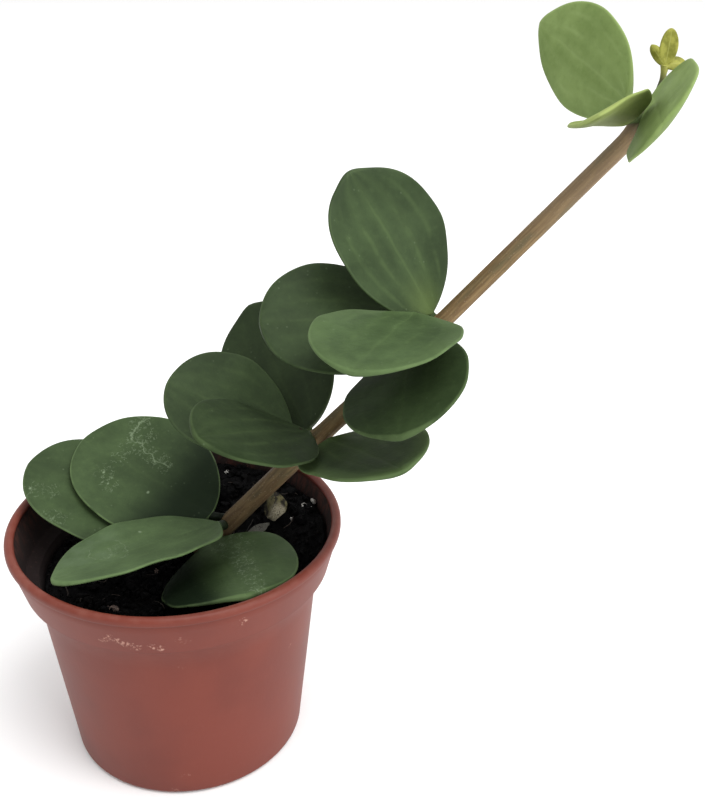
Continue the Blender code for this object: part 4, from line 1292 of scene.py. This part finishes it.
hang_leaf(
    "leaf_top_right", TOP_NODE, 270, 0.5, (1.5, -3.0, 6.0), 261, 0, -61, 21.5, 18.5,
    cup=0, curl=-0.5, base_full=2.4, full=2.6, twist=9, thick=TOP_THICK, point=BLUNT_POINT, seed=15.0,
    slot="young_leaf", skin=dict(YOUNG_SKIN, tone_and_painted_light=1.6, vein_show=0.15),
)


# The growing tip is a thin soft stalk that goes on from the stem's end and carries three tiny
# unfolding leaves in a bright yellow-green. They are all one piece of tissue.
SHOOT_START = STEM_END - (STEM_END - TOP_NODE).normalized() * 0.8
SHOOT_BEND = Vector((91.6, 0.0, 142.9))
SHOOT_JOINT = Vector((91.7, 0.0, 146.0))
SHOOT_RINGS = 30
# heading, lift, roll, long, wide, curl
LEAFLETS = (
    (0, 85, -90, 5.9, 3.2, 0.4),
    (180, 52, -78, 4.2, 1.9, 0.3),
    (0, 10, -45, 3.7, 2.8, 0.8),
)


def shoot_corner(_, ring, turn, middle):
    """A corner of the tip's stalk, which bends once and thickens again under its leaflets."""
    share = ring / (SHOOT_RINGS - 1)
    lower = SHOOT_START.lerp(SHOOT_BEND, min(1.0, share * 1.8))
    centre = lower.lerp(SHOOT_JOINT, max(0.0, (share - 0.45) / 0.55))
    way = (SHOOT_JOINT - SHOOT_START).normalized()
    side = Vector((0, 1, 0))
    other = way.cross(side)
    radius = 0.95 - 0.4 * min(1.0, share * 1.8) + 0.22 * max(0.0, share - 0.75) / 0.25
    if middle:
        return centre + way * (0.4 if ring else -0.3)
    return centre + side * (radius * math.cos(turn)) + other * (radius * math.sin(turn))


shoot_parts = [draw_tube("shoot_tip", 20, SHOOT_RINGS, shoot_corner)]
for k, (heading, lift, roll, long, wide, curl) in enumerate(LEAFLETS):
    way = leaf_axes(heading, lift, roll)[0]
    shoot_parts.append(grow_leaf(
        f"leaflet_{k}", SHOOT_JOINT, 0, 0, (0, 0, 0), heading, lift, roll, long, wide, cup=0.4, curl=curl,
        full=1.9, thick=0.7, stalk=0.45, point=0.3, start=(SHOOT_JOINT - way * 0.6, way), wave=0.05,
        seed=20.0 + k,
    ))
start_alone(*shoot_parts)
bpy.ops.object.join()
shoot = shoot_parts[0]

fresh_growth = start_finish("fresh growth", specular=0.15)
place = here()
across = axis_of(stored("on_blade"), 0)
soft = cloud(place, 1.6, 3.0)
colour = coat_over((0.15, 0.155, 0.022), (0.27, 0.27, 0.05), rise(soft, 0.35, 0.65))
colour = coat_over(colour, (0.36, 0.36, 0.11), rise(abs(across), 0.12, 0.0) * 0.4)
# Painted shade: the stalk below the leaflets is dark, where it stands in shade at the stem's end.
colour = coat_over((0.045, 0.048, 0.03), colour, rise(axis_of(place, 2), 142.5, 146.0))
end_finish(fresh_growth, colour, 0.42 + soft * 0.15, soft)
put_in_place(shoot, fresh_growth, "shoot", "shoot", crease=60.0)
